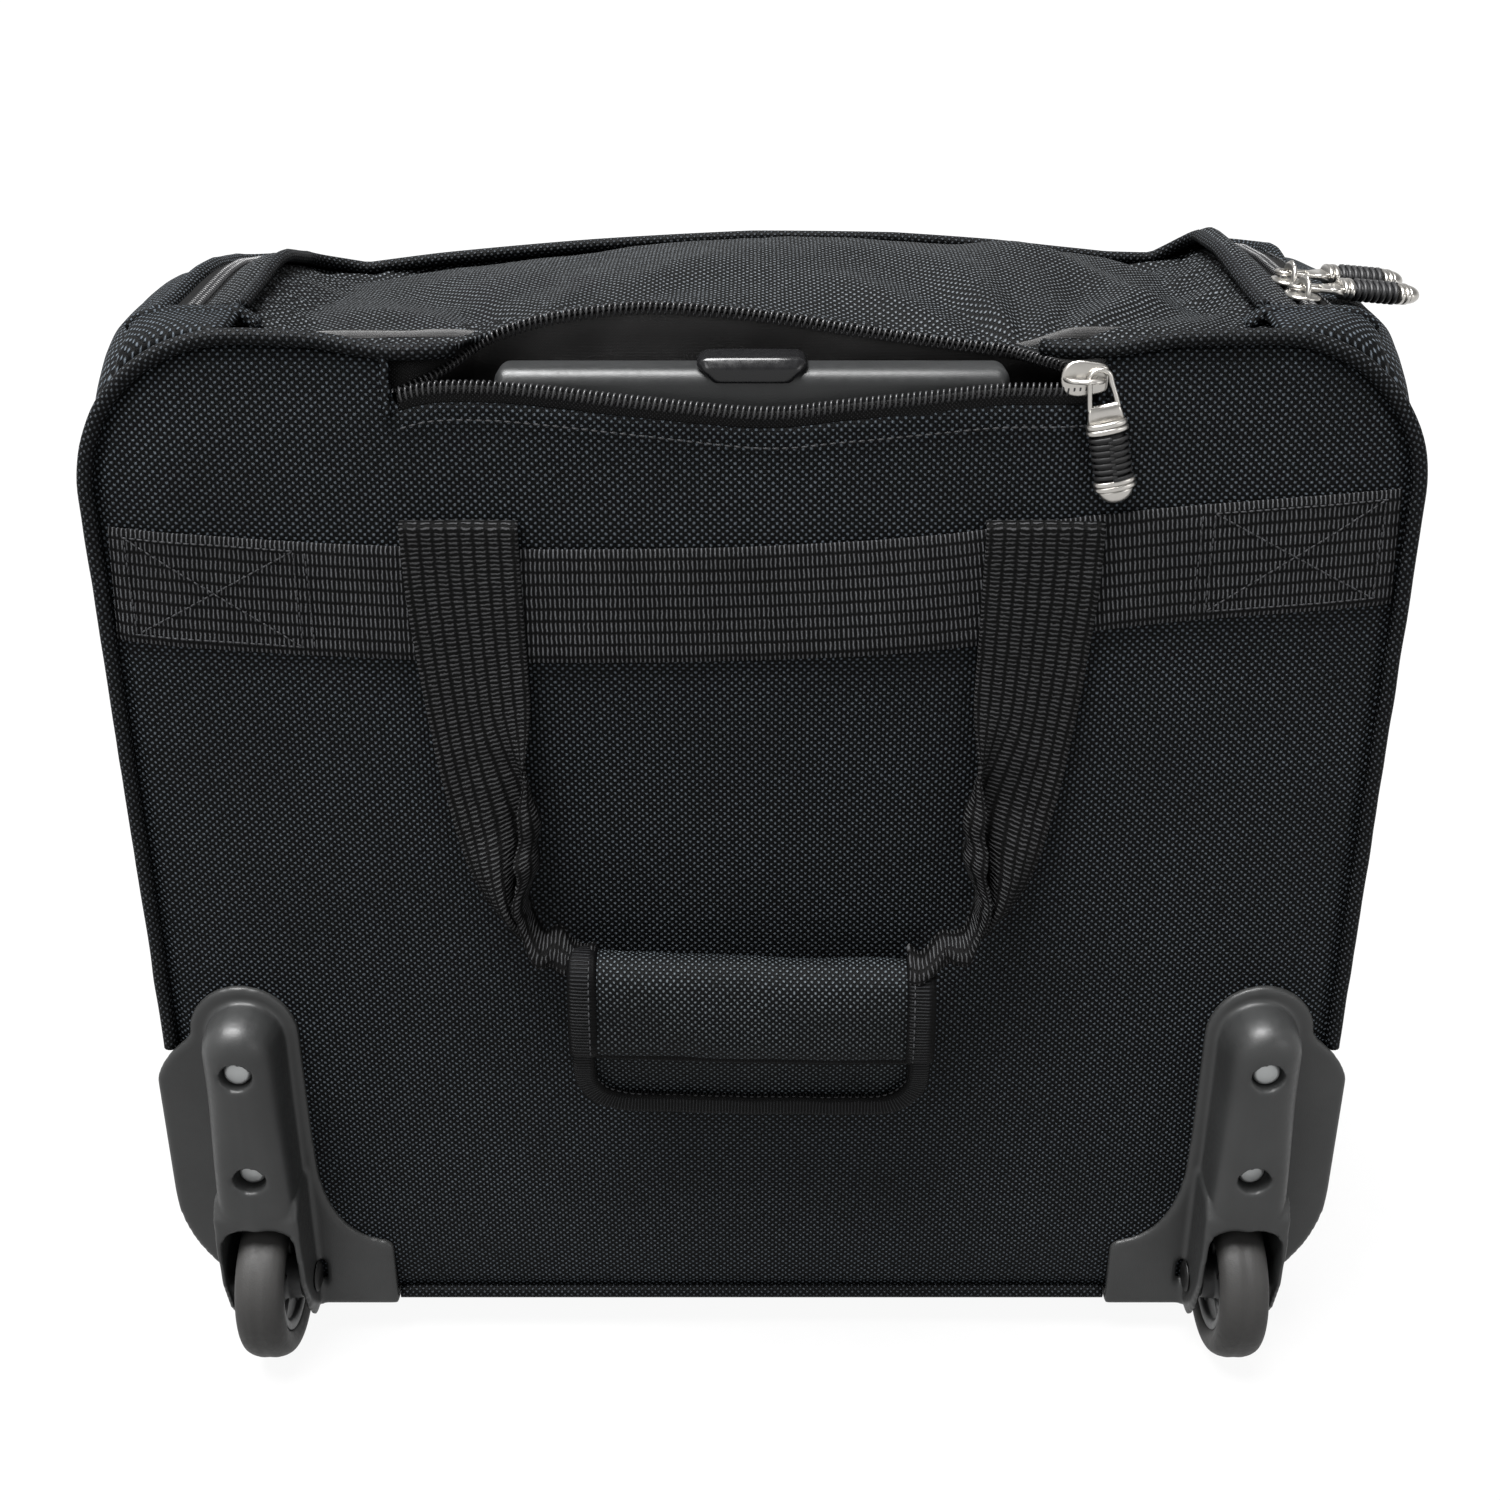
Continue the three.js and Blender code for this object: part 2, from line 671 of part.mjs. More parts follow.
// The metal pull, with its ring centred on the origin.
function pull() {
  const ring = new THREE.Shape();
  ring.absarc(0, 0, 3.9, 0, Math.PI, false);
  ring.lineTo(-6, -14);
  ring.lineTo(6, -14);
  const hole = new THREE.Path();
  hole.absarc(0, 0, 2.1, 0, Math.PI, false);
  hole.lineTo(-3, -8);
  hole.lineTo(3, -8);
  ring.holes.push(hole);
  const level = 3.2;
  const eye = post(ring, level - 0.8, level + 0.8, 8);
  const bead = (y, length, rx, rz, sides = 14) =>
    toSolid(
      new THREE.CylinderGeometry(1, 1, length, sides)
        .scale(rx, 1, rz)
        .translate(0, y - length / 2, level + 0.6),
    );
  const tip = toSolid(new THREE.SphereGeometry(1, 14, 8).scale(5.4, 4.4, 3.2).translate(0, -36.6, level + 0.6));
  const core = bead(-15, 20, 3, 1.8);
  return join(eye, bead(-13.4, 2, 6.6, 3.4), bead(-15.6, 2, 6.8, 3.6), core, bead(-32.8, 3.8, 6.8, 3.6), tip);
}

function pullSleeve() {
  const level = 3.8;
  const length = 14.6;
  const body = (rx, rz, extra) =>
    toSolid(
      new THREE.CylinderGeometry(1, 1, length + extra, 14)
        .scale(rx, 1, rz)
        .translate(0, -17.9 - length / 2, level),
    );
  return cut(body(6.6, 3.6, 0), body(3.3, 2.1, 6));
}

// ---- Carry handles ----
function strapSide() {
  const shape = new THREE.Shape();
  shape.moveTo(STRAP.inner, STRAP.fold);
  shape.bezierCurveTo(74, 280, 80, 225, 65.3, 186);
  shape.lineTo(65.3, 168);
  shape.bezierCurveTo(100, 205, 112, 260, STRAP.outer, STRAP.fold);
  return shape;
}

function rearStrap() {
  const rollY = BODY.back - 6;
  const web = slab(strapSide(), rollY - 2.2, rollY + 0.3);
  const roll = rod("x", 2.2, STRAP.outer - STRAP.inner, [(STRAP.inner + STRAP.outer) / 2, rollY, STRAP.fold], 14);
  return join(web, roll);
}

function gripWrap() {
  const section = new THREE.Shape();
  section.moveTo(-84.4, 158);
  section.bezierCurveTo(-84.4, 196, -107, 196, -107, 172);
  section.lineTo(-107, 158);
  section.quadraticCurveTo(-107, 148, -98, 148);
  section.lineTo(-95, 124);
  section.lineTo(-90, 124);
  section.lineTo(-90, 148);
  section.quadraticCurveTo(-84.4, 148, -84.4, 158);
  return bar(section, -65, 65);
}

function frontHandle() {
  const rollY = BODY.front + 8;
  const loop = new THREE.Shape();
  loop.moveTo(STRAP.outer, STRAP.fold);
  loop.bezierCurveTo(112, 260, 100, 186, 40, 186);
  loop.lineTo(-40, 186);
  loop.bezierCurveTo(-100, 186, -112, 260, -STRAP.outer, STRAP.fold);
  loop.lineTo(-STRAP.inner, STRAP.fold);
  loop.bezierCurveTo(-74, 280, -72, 218, -36, 218);
  loop.lineTo(36, 218);
  loop.bezierCurveTo(72, 218, 74, 280, STRAP.inner, STRAP.fold);
  const web = slab(loop, rollY + 1.7, rollY + 4.2);
  const middle = (STRAP.inner + STRAP.outer) / 2;
  const rolls = [-1, 1].map((side) =>
    rod("x", 4.2, STRAP.outer - STRAP.inner, [side * middle, rollY, STRAP.fold], 14),
  );
  return join(web, ...rolls);
}

// ---- Assembly ----
const model = new THREE.Group();

function add(name, material, source, parent = model) {
  const geometry = source.isBufferGeometry ? source : toGeometry(source);
  const mesh = new THREE.Mesh(geometry, material);
  mesh.name = name;
  parent.add(mesh);
  return mesh;
}

function group(parent, { at = [0, 0, 0], mirrored = false } = {}) {
  const made = new THREE.Group();
  made.position.set(...at);
  if (mirrored) made.scale.x = -1;
  parent.add(made);
  return made;
}

function addFabricBody() {
  const inset = 3.6;
  const backPanel = bodyOutline(-inset);
  const frontPanel = bodyOutline(-inset, FRONT_TOP.corner, FRONT_TOP.crown);
  const rivetHoles = RIVETS.flatMap(({ z }) =>
    [-1, 1].map((side) => rod("y", 2.6, 20, [side * WHEEL.x, BODY.back, z], 12)),
  );
  const backPlate = slab(backPanel, BODY.back, BODY.back + BODY.wall);
  add("back_panel", FABRIC, cut(backPlate, mouthFromBehind(), ...wheelWells, ...rivetHoles));
  add("gusset_shell", FABRIC, gussetShell());
  add("front_panel", FABRIC, slab(frontPanel, BODY.front - BODY.wall, BODY.front));
  add("piping_back_left", FABRIC, sidePiping(3 - MOUTH.left), group(model, { mirrored: true }));
  add("piping_back_right", FABRIC, sidePiping(MOUTH.right + 3));
  add("piping_back_base", FABRIC, basePiping());
  add("piping_front", FABRIC, frontPiping());
  add("base_board", BOARD, block(around(0, 168), [-14, 96], [22.3, 24.3]));
  const divider = outline({ half: 214, base: 24.6, top: 397.2 }, { base: 40, top: 24 }, 1.5);
  add("bay_lining", LINING, slab(divider, -49, -47.4));
  add("laptop_sleeve", LINING, slab(roundRect(200, 25, 300, 24), -24, -16));
  const pocket = slab(roundRect(178, 42, 176, 26), BODY.front + GAP, BODY.front + 5, { bevel: 1.5 });
  const pocketZip = block(around(0, 150), [BODY.front + 4, BODY.front + 6.9], [150, 158]);
  add("front_pocket", FABRIC, join(pocket, pocketZip));
}

function addLid() {
  const lid = group(model);
  add("lid_panel", FABRIC, shell.intersect(lidPrism(0)), lid);
  add("lid_piping", FABRIC, lidCord(), lid);
  add("main_zip_tape_lid", WEBBING, lidTape(GAP), lid);
  add("main_zip_tape_body", WEBBING, lidTape(LID.tape + 2 * GAP));
}

function addRunningGear() {
  const rightSide = group(model);
  const leftSide = group(model, { mirrored: true });
  const sides = [
    ["right", rightSide],
    ["left", leftSide],
  ];
  for (const [name, side] of sides) {
    add(`wheel_housing_${name}`, MOULDED, wheelHousing(), side);
    for (const spec of RIVETS) {
      add(`rivet_${name}_${spec.name}`, STEEL, rivet(spec.seat), side).position.set(WHEEL.x, 0, spec.z);
    }
    const wheel = group(side, { at: [WHEEL.x, WHEEL.y, WHEEL.radius] });
    add(`wheel_axle_${name}`, STEEL, axle(), wheel);
    add(`wheel_hub_${name}`, MOULDED, hub(), wheel);
    add(`wheel_tyre_${name}`, TYRE, tyre(), wheel);
    const foot = polygon([
      [60, 17.7],
      [66, 0],
      [88, 0],
      [94, 17.7],
    ]);
    add(`front_foot_${name}`, MOULDED, bar(foot, 128, 168), side);
  }
}

function addTrolleyHandle() {
  add("handle_collar", MOULDED, handleCollar());
  add("handle_bracket", MOULDED, handleBracket());
  for (const [name, x] of [
    ["left", -TUBE.x],
    ["right", TUBE.x],
  ]) {
    for (const stage of Object.keys(TUBES)) {
      const tube = add(`tube_${stage}_${name}`, ALUMINIUM, hollowTube(TUBES[stage]));
      tube.position.set(x, TUBE.y, 0);
    }
  }
  add("handle_grip", GRIP_PLASTIC, handleGrip());
  add("handle_button", GRIP_PLASTIC, handleButton());
  add("release_frame", STEEL, releaseFrame());
  add("button_spring", STEEL, buttonSpring());
}

// A slider with its pull. The frame's rows say where the track, the pull's far side and the face point.
function addSlider(names, { at, track, up, face }, swing, hasSleeve) {
  const place = group(model, { at });
  const basis = new THREE.Matrix4().makeBasis(
    new THREE.Vector3(...track),
    new THREE.Vector3(...up),
    new THREE.Vector3(...face),
  );
  place.quaternion.setFromRotationMatrix(basis);
  add(names.slider, NICKEL, slider(), place);
  const hanging = group(place, { at: [POST_X, 0, 0] });
  hanging.rotation.z = swing;
  add(names.pull, NICKEL, pull(), hanging);
  if (hasSleeve) add(names.sleeve, RUBBER, pullSleeve(), hanging);
}

function addZips() {
  const lowerTape = slab(stripBeside(lowerLip, GAP, 5.5), BODY.back - 0.5, BODY.back + 1.9);
  const upperTape = post(stripBeside(mouthLip, -4, -0.4, 7), 399.6, 401.8);
  add("rear_zip_tape_lower", WEBBING, lowerTape);
  add("rear_zip_tape_upper", WEBBING, upperTape.intersect(block([-112, 108], [-75, -40], [390, 410])));

  const behind = { track: [1, 0, 0], up: [0, 0, 1], face: [0, -1, 0] };
  const names = (key) => ({ slider: `${key}_slider`, pull: `${key}_pull`, sleeve: `${key}_pull_sleeve` });
  addSlider(names("rear"), { at: [106, BODY.back - 1, 388], ...behind }, PULL_TILT, true);

  const lean = THREE.MathUtils.degToRad(5);
  const shoulder = {
    track: [0, 1, 0],
    up: [-Math.cos(lean), 0, Math.sin(lean)],
    face: [Math.sin(lean), 0, Math.cos(lean)],
  };
  for (const [key, y] of MAIN_SLIDERS) {
    const at = [ZIP.x, y, surfaceZ(ZIP.x, y) + ZIP.lift];
    addSlider(names(key), { at, ...shoulder }, 0, true);
  }

  const ahead = { track: [-1, 0, 0], up: [0, 0, 1], face: [0, 1, 0] };
  addSlider(names("front"), { at: [138, BODY.front + 7.2, 154], ...ahead }, 0, false);
}

function addCarryHandles() {
  const back = slab(stripBeside(bandLine, -BAND.width / 2, BAND.width / 2), BODY.back - GAP - BAND.thick, BODY.back - GAP);
  add("back_band", WEBBING, back);
  const front = block(around(0, 210), [BODY.front + GAP, BODY.front + GAP + BAND.thick], [298, 338]);
  add("front_band", WEBBING, front);
  const strap = rearStrap();
  add("rear_strap_right", WEBBING, strap);
  add("rear_strap_left", WEBBING, strap, group(model, { mirrored: true }));
  add("grip_wrap", FABRIC, gripWrap());
  add("front_handle", WEBBING, frontHandle());
}

addFabricBody();
addLid();
addRunningGear();
addTrolleyHandle();
addZips();
addCarryHandles();

export default model;
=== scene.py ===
"""A rolling laptop case seen from its wheel side. All lengths in the build code are millimetres in the CAD frame."""
import math

import bpy
import numpy as np
from mathutils import Matrix, Vector, noise


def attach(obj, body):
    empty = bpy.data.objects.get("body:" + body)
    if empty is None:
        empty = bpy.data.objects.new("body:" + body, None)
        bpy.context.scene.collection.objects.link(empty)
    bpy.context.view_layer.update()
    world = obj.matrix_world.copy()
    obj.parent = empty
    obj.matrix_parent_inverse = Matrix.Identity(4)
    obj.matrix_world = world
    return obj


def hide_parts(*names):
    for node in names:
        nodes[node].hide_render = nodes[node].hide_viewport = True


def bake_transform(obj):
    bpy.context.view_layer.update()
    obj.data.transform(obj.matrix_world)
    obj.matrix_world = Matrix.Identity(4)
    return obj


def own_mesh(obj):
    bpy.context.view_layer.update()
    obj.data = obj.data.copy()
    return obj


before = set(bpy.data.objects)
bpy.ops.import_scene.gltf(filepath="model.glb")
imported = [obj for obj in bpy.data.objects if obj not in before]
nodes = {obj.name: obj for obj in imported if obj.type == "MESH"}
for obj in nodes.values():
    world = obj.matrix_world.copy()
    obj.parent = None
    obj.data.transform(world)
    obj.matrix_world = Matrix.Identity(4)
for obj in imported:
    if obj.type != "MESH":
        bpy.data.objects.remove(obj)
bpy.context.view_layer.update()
scene = bpy.context.scene
MM = 0.001

# ------------------------------------------------------------------ sizes
HALF, BASE, BACK, FRONT = 218.5, 18.0, -80.0, 103.0
CORNER_LOW, CORNER_TOP = 46.0, 52.0
PIPE_R, PIPE_OUT = 3.2, 0.6
PIPE_BACK, PIPE_FRONT = BACK + 1.1, FRONT - 1.1
MOUTH_LEFT, MOUTH_RIGHT = -116.0, 112.0
HINGE_Y = -47.0
SWELL = np.array([
    [-75.3, 400.0, 52, 0.2], [-68, 400.4, 38, 0.5], [-60, 401.0, 30, 1], [-50, 401.6, 23, 2],
    [-40, 402.2, 18, 3.5], [-10, 404.6, 16, 7], [20, 406.6, 16, 9], [50, 407.0, 18, 9.5],
    [75, 405.0, 24, 7], [90, 402.0, 34, 4.5], [98.3, 400.0, 44, 3],
])
ZIP_X = 186.15
FLAP_HALF = 178.0
LID_FRONT = 78.0


# ------------------------------------------------------------------ small maths
def ease(low, high, value):
    t = np.clip((np.asarray(value, float) - low) / (high - low), 0, 1)
    return t * t * (3 - 2 * t)


def bell(value, centre, width):
    return np.exp(-(((np.asarray(value, float) - centre) / width) ** 2))


def rumple(points, size, seed, detail=2):
    """Smooth noise between about -1 and 1 at each point, with features of that size in millimetres."""
    shape = points.shape[:-1]
    flat = points.reshape(-1, points.shape[-1])
    out = np.zeros(len(flat))
    for i, p in enumerate(flat):
        v = Vector((p[0], p[1], p[2] if len(p) > 2 else 0.0)) / size + Vector((seed * 7.3, seed * 3.1, seed * 5.7))
        out[i] = noise.fractal(v, 1.0, 2.0, detail)
    return out.reshape(shape)


def bezier(points, count):
    """Points along a cubic Bezier spline through sets of four control points."""
    p = np.array(points, float)
    t = np.linspace(0, 1, count)[:, None]
    return (1 - t) ** 3 * p[0] + 3 * (1 - t) ** 2 * t * p[1] + 3 * (1 - t) * t**2 * p[2] + t**3 * p[3]


def resample(points, count=None, step=None):
    p = np.array(points, float)
    gaps = np.linalg.norm(np.diff(p, axis=0), axis=1)
    along = np.concatenate([[0], np.cumsum(gaps)])
    if count is None:
        count = max(2, int(round(along[-1] / step)) + 1)
    s = np.linspace(0, along[-1], count)
    return np.stack([np.interp(s, along, p[:, k]) for k in range(p.shape[1])], 1), s


def smooth_line(points, count):
    """A Catmull-Rom line through the points, evenly spaced."""
    p = np.array(points, float)
    ends = np.vstack([2 * p[0] - p[1], p, 2 * p[-1] - p[-2]])
    out = []
    for i in range(len(p) - 1):
        a, b, c, d = ends[i : i + 4]
        t = np.linspace(0, 1, 24, endpoint=False)[:, None]
        out.append(0.5 * (2 * b + (c - a) * t + (2 * a - 5 * b + 4 * c - d) * t**2 + (3 * b - a - 3 * c + d) * t**3))
    return resample(np.vstack([*out, p[-1:]]), count)[0]


def swell(y):
    return [np.interp(y, SWELL[:, 0], SWELL[:, k]) for k in (1, 2, 3)]


def surface_z(x, y):
    """Height of the case's top at x, y."""
    top, corner, crown = swell(y)
    flat = HALF - corner
    beyond = np.clip(np.abs(x) - flat, 0, corner)
    level = top + crown * np.clip(1 - (np.asarray(x) / flat) ** 2, 0, 1)
    return np.where(np.abs(x) <= flat, level, top - corner + np.sqrt(corner**2 - beyond**2))


# ------------------------------------------------------------------ meshes
def finish_piece(obj, material, body, replaces=(), smooth=True):
    obj.data.materials.clear()
    obj.data.materials.append(material)
    if smooth:
        obj.data.polygons.foreach_set("use_smooth", [True] * len(obj.data.polygons))
    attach(obj, body)
    if replaces:
        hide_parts(*replaces)
    return obj


def raw_object(name, vertices, faces, uvs=None):
    mesh = bpy.data.meshes.new(name)
    mesh.from_pydata((np.asarray(vertices, float) * MM).tolist(), [], [list(map(int, f)) for f in faces])
    if uvs is not None:
        layer = mesh.uv_layers.new(name="weave")
        layer.data.foreach_set("uv", np.asarray(uvs, np.float32).ravel())
    mesh.update()
    obj = bpy.data.objects.new(name, mesh)
    scene.collection.objects.link(obj)
    return obj


def quads_of(rows, columns, wrap_rows=False, wrap_columns=False, start=0):
    ids = np.arange(rows * columns).reshape(rows, columns) + start
    if wrap_rows:
        ids = np.vstack([ids, ids[:1]])
    if wrap_columns:
        ids = np.hstack([ids, ids[:, :1]])
    return np.stack([ids[:-1, :-1], ids[:-1, 1:], ids[1:, 1:], ids[1:, :-1]], -1)


def grid_object(name, P, UV, wrap=(False, False), flip=False, keep=None):
    """A mesh over a grid of points. UV has one more row or column than P where the grid closes on itself."""
    rows, columns = P.shape[:2]
    quads = quads_of(rows, columns, *wrap)
    corner = np.stack([UV[:-1, :-1], UV[:-1, 1:], UV[1:, 1:], UV[1:, :-1]], 2)
    if keep is not None:
        quads, corner = quads[keep], corner[keep]
    quads, corner = quads.reshape(-1, 4), corner.reshape(-1, 4, 2)
    if flip:
        quads, corner = quads[:, ::-1], corner[:, ::-1]
    return raw_object(name, P.reshape(-1, 3), quads, corner.reshape(-1, 2))


def apply_modifiers(obj):
    graph = bpy.context.evaluated_depsgraph_get()
    graph.update()
    mesh = bpy.data.meshes.new_from_object(obj.evaluated_get(graph))
    obj.modifiers.clear()
    obj.data = mesh
    return obj


def thicken(obj, depth, offset=-1.0, rim=True):
    made = obj.modifiers.new("thick", "SOLIDIFY")
    made.thickness = depth * MM
    made.offset = offset
    made.use_rim = rim
    made.use_even_offset = False
    return apply_modifiers(obj)


def subdivide(obj, levels=1):
    made = obj.modifiers.new("sub", "SUBSURF")
    made.levels = made.render_levels = levels
    return apply_modifiers(obj)


def frames_along(points, up, closed=False):
    p = np.asarray(points, float)
    if closed:
        tangent = np.roll(p, -1, 0) - np.roll(p, 1, 0)
    else:
        tangent = np.gradient(p, axis=0)
    tangent /= np.linalg.norm(tangent, axis=1, keepdims=True)
    up = np.broadcast_to(np.asarray(up, float), p.shape)
    side = np.cross(tangent, up)
    side /= np.maximum(np.linalg.norm(side, axis=1, keepdims=True), 1e-9)
    normal = np.cross(side, tangent)
    return tangent, side, normal


def sweep(name, points, section, up, closed=False, caps=True, uv_scale=1.0, scale=None):
    """A closed section (columns: sideways, along the up axis) carried along points."""
    p = np.asarray(points, float)
    section = np.asarray(section, float)
    _, side, normal = frames_along(p, up, closed)
    size = np.ones(len(p)) if scale is None else np.asarray(scale, float)
    ring = section[None] * size[:, None, None] if section.ndim == 2 else section
    P = p[:, None] + side[:, None] * ring[..., :1] + normal[:, None] * ring[..., 1:]
    around_len = np.concatenate([[0], np.cumsum(np.linalg.norm(np.diff(np.vstack([ring[0], ring[0][:1]]), axis=0), axis=1))])
    steps = np.linalg.norm(np.diff(np.vstack([p, p[:1]]) if closed else p, axis=0), axis=1)
    along = np.concatenate([[0], np.cumsum(steps)])
    UV = np.stack(np.meshgrid(along, around_len, indexing="ij"), -1) * uv_scale
    if caps and not closed:
        middle_a, middle_b = P[0].mean(0), P[-1].mean(0)
        P = np.concatenate([np.broadcast_to(middle_a, (1, *P.shape[1:])), P, np.broadcast_to(middle_b, (1, *P.shape[1:]))])
        UV = np.concatenate([UV[:1], UV, UV[-1:]])
    obj = grid_object(name, P, UV, wrap=(closed, True))
    if caps and not closed:
        weld(obj)
    return obj


def weld(obj, distance=0.01):
    import bmesh

    work = bmesh.new()
    work.from_mesh(obj.data)
    bmesh.ops.remove_doubles(work, verts=work.verts, dist=distance * MM)
    bmesh.ops.dissolve_degenerate(work, edges=work.edges, dist=distance * MM * 0.1)
    bmesh.ops.recalc_face_normals(work, faces=work.faces)
    work.to_mesh(obj.data)
    work.free()
    return obj


def round_section(radius, sides=12, squash=1.0):
    a = np.linspace(0, 2 * math.pi, sides, endpoint=False)
    return np.stack([radius * np.cos(a), radius * squash * np.sin(a)], 1)


def rounded_box_section(width, height, radius, steps=4):
    """A rectangle with rounded corners, as a closed ring."""
    points = []
    for cx, cy, start in ((1, 1, 0), (-1, 1, 90), (-1, -1, 180), (1, -1, 270)):
        for a in np.linspace(start, start + 90, steps + 1):
            r = math.radians(a)
            points.append((cx * (width / 2 - radius) + radius * math.cos(r), cy * (height / 2 - radius) + radius * math.sin(r)))
    return np.array(points)


def lathe(name, profile, axis="x", sides=64):
    """Turned about an axis: rows of (radius, place along the axis)."""
    profile = np.array(profile, float)
    a = np.linspace(0, 2 * math.pi, sides, endpoint=False)
    r, s = profile[:, :1], profile[:, 1:]
    one = np.broadcast_to(s, (len(profile), sides))
    if axis == "x":
        P = np.stack([one, r * np.cos(a), r * np.sin(a)], -1)
    elif axis == "y":
        P = np.stack([r * np.cos(a), one, r * np.sin(a)], -1)
    else:
        P = np.stack([r * np.cos(a), r * np.sin(a), one], -1)
    steps = np.concatenate([[0], np.cumsum(np.linalg.norm(np.diff(profile, axis=0), axis=1))])
    UV = np.stack(np.meshgrid(steps, np.linspace(0, 2 * math.pi, sides + 1) * profile[:, 0].max(), indexing="ij"), -1)
    return weld(grid_object(name, P, UV, wrap=(False, True)))


def rounded_profile(corners, radius=0.6, steps=4):
    """Rounds the inner corners of a polyline."""
    c = np.array(corners, float)
    out = [c[0]]
    for a, b, d in zip(c, c[1:], c[2:]):
        la, lb = np.linalg.norm(a - b), np.linalg.norm(d - b)
        r = min(radius, la * 0.45, lb * 0.45)
        p, q = b + (a - b) / la * r, b + (d - b) / lb * r
        for t in np.linspace(0, 1, steps):
            out.append((1 - t) ** 2 * p + 2 * t * (1 - t) * b + t**2 * q)
    out.append(c[-1])
    return np.array(out)


def move(obj, matrix):
    obj.data.transform(matrix)
    if matrix.determinant() < 0:
        obj.data.flip_normals()
    return obj


def shift(obj, x, y, z):
    return move(obj, Matrix.Translation(Vector((x, y, z)) * MM))


def mirrored(obj, name):
    copy = bpy.data.objects.new(name, obj.data.copy())
    scene.collection.objects.link(copy)
    return move(copy, Matrix.Scale(-1, 4, (1, 0, 0)))


def join(name, objects):
    """Joins unparented objects into the first."""
    bpy.ops.object.select_all(action="DESELECT")
    for o in objects:
        o.select_set(True)
    bpy.context.view_layer.objects.active = objects[0]
    bpy.ops.object.join()
    objects[0].name = name
    objects[0].data.name = name
    return objects[0]


def bevel(obj, width, segments=3, angle=35):
    made = obj.modifiers.new("bevel", "BEVEL")
    made.width = width * MM
    made.segments = segments
    made.limit_method = "ANGLE"
    made.angle_limit = math.radians(angle)
    made.harden_normals = False
    return apply_modifiers(obj)


def moulded_copy(node, name, voxel=1.1, smooth=6, faces=26000):
    """A finely remeshed copy of a CAD node, with its edges softened as a moulding's are."""
    source = nodes[node]
    obj = bpy.data.objects.new(name, source.data.copy())
    scene.collection.objects.link(obj)
    remesh = obj.modifiers.new("remesh", "REMESH")
    remesh.mode = "VOXEL"
    remesh.voxel_size = voxel * MM
    soft = obj.modifiers.new("soft", "SMOOTH")
    soft.iterations = smooth
    soft.factor = 0.5
    apply_modifiers(obj)
    if len(obj.data.polygons) > faces:
        thin = obj.modifiers.new("thin", "DECIMATE")
        thin.ratio = faces / len(obj.data.polygons)
        apply_modifiers(obj)
    return obj


# ------------------------------------------------------------------ materials
class Shader:
    """A material under construction: short names for the nodes it is made of."""

    def __init__(self, name, **principled):
        self.material = bpy.data.materials.new(name)
        self.material.use_nodes = True
        self.tree = self.material.node_tree
        self.main = self.tree.nodes["Principled BSDF"]
        for key, value in principled.items():
            self.main.inputs[key.replace("_", " ")].default_value = value

    def add(self, kind, inputs=None, **props):
        made = self.tree.nodes.new("ShaderNode" + kind)
        for key, value in props.items():
            setattr(made, key, value)
        for key, value in (inputs or {}).items():
            socket = made.inputs[key]
            if isinstance(value, bpy.types.NodeSocket):
                self.tree.links.new(value, socket)
            else:
                socket.default_value = value
        return made

    def link(self, output, name):
        self.tree.links.new(output, self.main.inputs[name])

    def math(self, operation, a, b=0.0, clamp=False):
        return self.add("Math", {0: a, 1: b}, operation=operation, use_clamp=clamp).outputs[0]

    def mix(self, factor, a, b):
        made = self.add("Mix", data_type="RGBA")
        for key, value in (("Factor", factor), ("A", a), ("B", b)):
            socket = [s for s in made.inputs if s.name == key and (s.type == "RGBA" or key == "Factor")][0]
            if isinstance(value, bpy.types.NodeSocket):
                self.tree.links.new(value, socket)
            else:
                socket.default_value = (*value, 1) if isinstance(value, tuple) and len(value) == 3 else value
        return [s for s in made.outputs if s.type == "RGBA"][0]

    def noise(self, scale, detail=2.0, vector=None, roughness=0.5):
        inputs = {"Scale": scale, "Detail": detail, "Roughness": roughness}
        if vector is not None:
            inputs["Vector"] = vector
        return self.add("TexNoise", inputs).outputs["Fac"]

    def range(self, value, low, high, to_low=0.0, to_high=1.0):
        made = self.add("MapRange", {"Value": value, "From Min": low, "From Max": high, "To Min": to_low, "To Max": to_high})
        return made.outputs["Result"]

    def bump(self, height, distance, strength=1.0, normal=None):
        inputs = {"Height": height, "Distance": distance * MM, "Strength": strength}
        if normal is not None:
            inputs["Normal"] = normal
        made = self.add("Bump", inputs)
        self.link(made.outputs["Normal"], "Normal")
        return made.outputs["Normal"]

    def object_coords(self):
        return self.add("TexCoord").outputs["Object"]

    def weave_coords(self, scale=(1, 1), angle=0.0):
        uv = self.add("UVMap", uv_map="weave").outputs["UV"]
        inputs = {"Vector": uv, "Scale": (scale[0], scale[1], 1), "Rotation": (0, 0, math.radians(angle))}
        return self.add("Mapping", inputs, vector_type="POINT").outputs["Vector"]


def cloth_base(name, wander, roughness):
    """The start of a cloth: its flat coordinates in millimetres, a little disturbed by one noise, and the two
    coordinates of the disturbed place.
    """
    s = Shader(name, Roughness=roughness, Specular_IOR_Level=0.07)
    flat = s.weave_coords()
    wobble = s.add("TexNoise", {"Vector": flat, "Scale": 0.45, "Detail": 2.0}).outputs["Color"]
    off = s.add("VectorMath", {0: wobble, 1: (0.5, 0.5, 0.5)}, operation="SUBTRACT").outputs[0]
    off = s.add("VectorMath", {0: off, "Scale": wander}, operation="SCALE").outputs[0]
    place = s.add("VectorMath", {0: flat, 1: off}, operation="ADD").outputs[0]
    parts = s.add("SeparateXYZ", {0: place}).outputs
    return s, flat, place, parts["X"], parts["Y"]


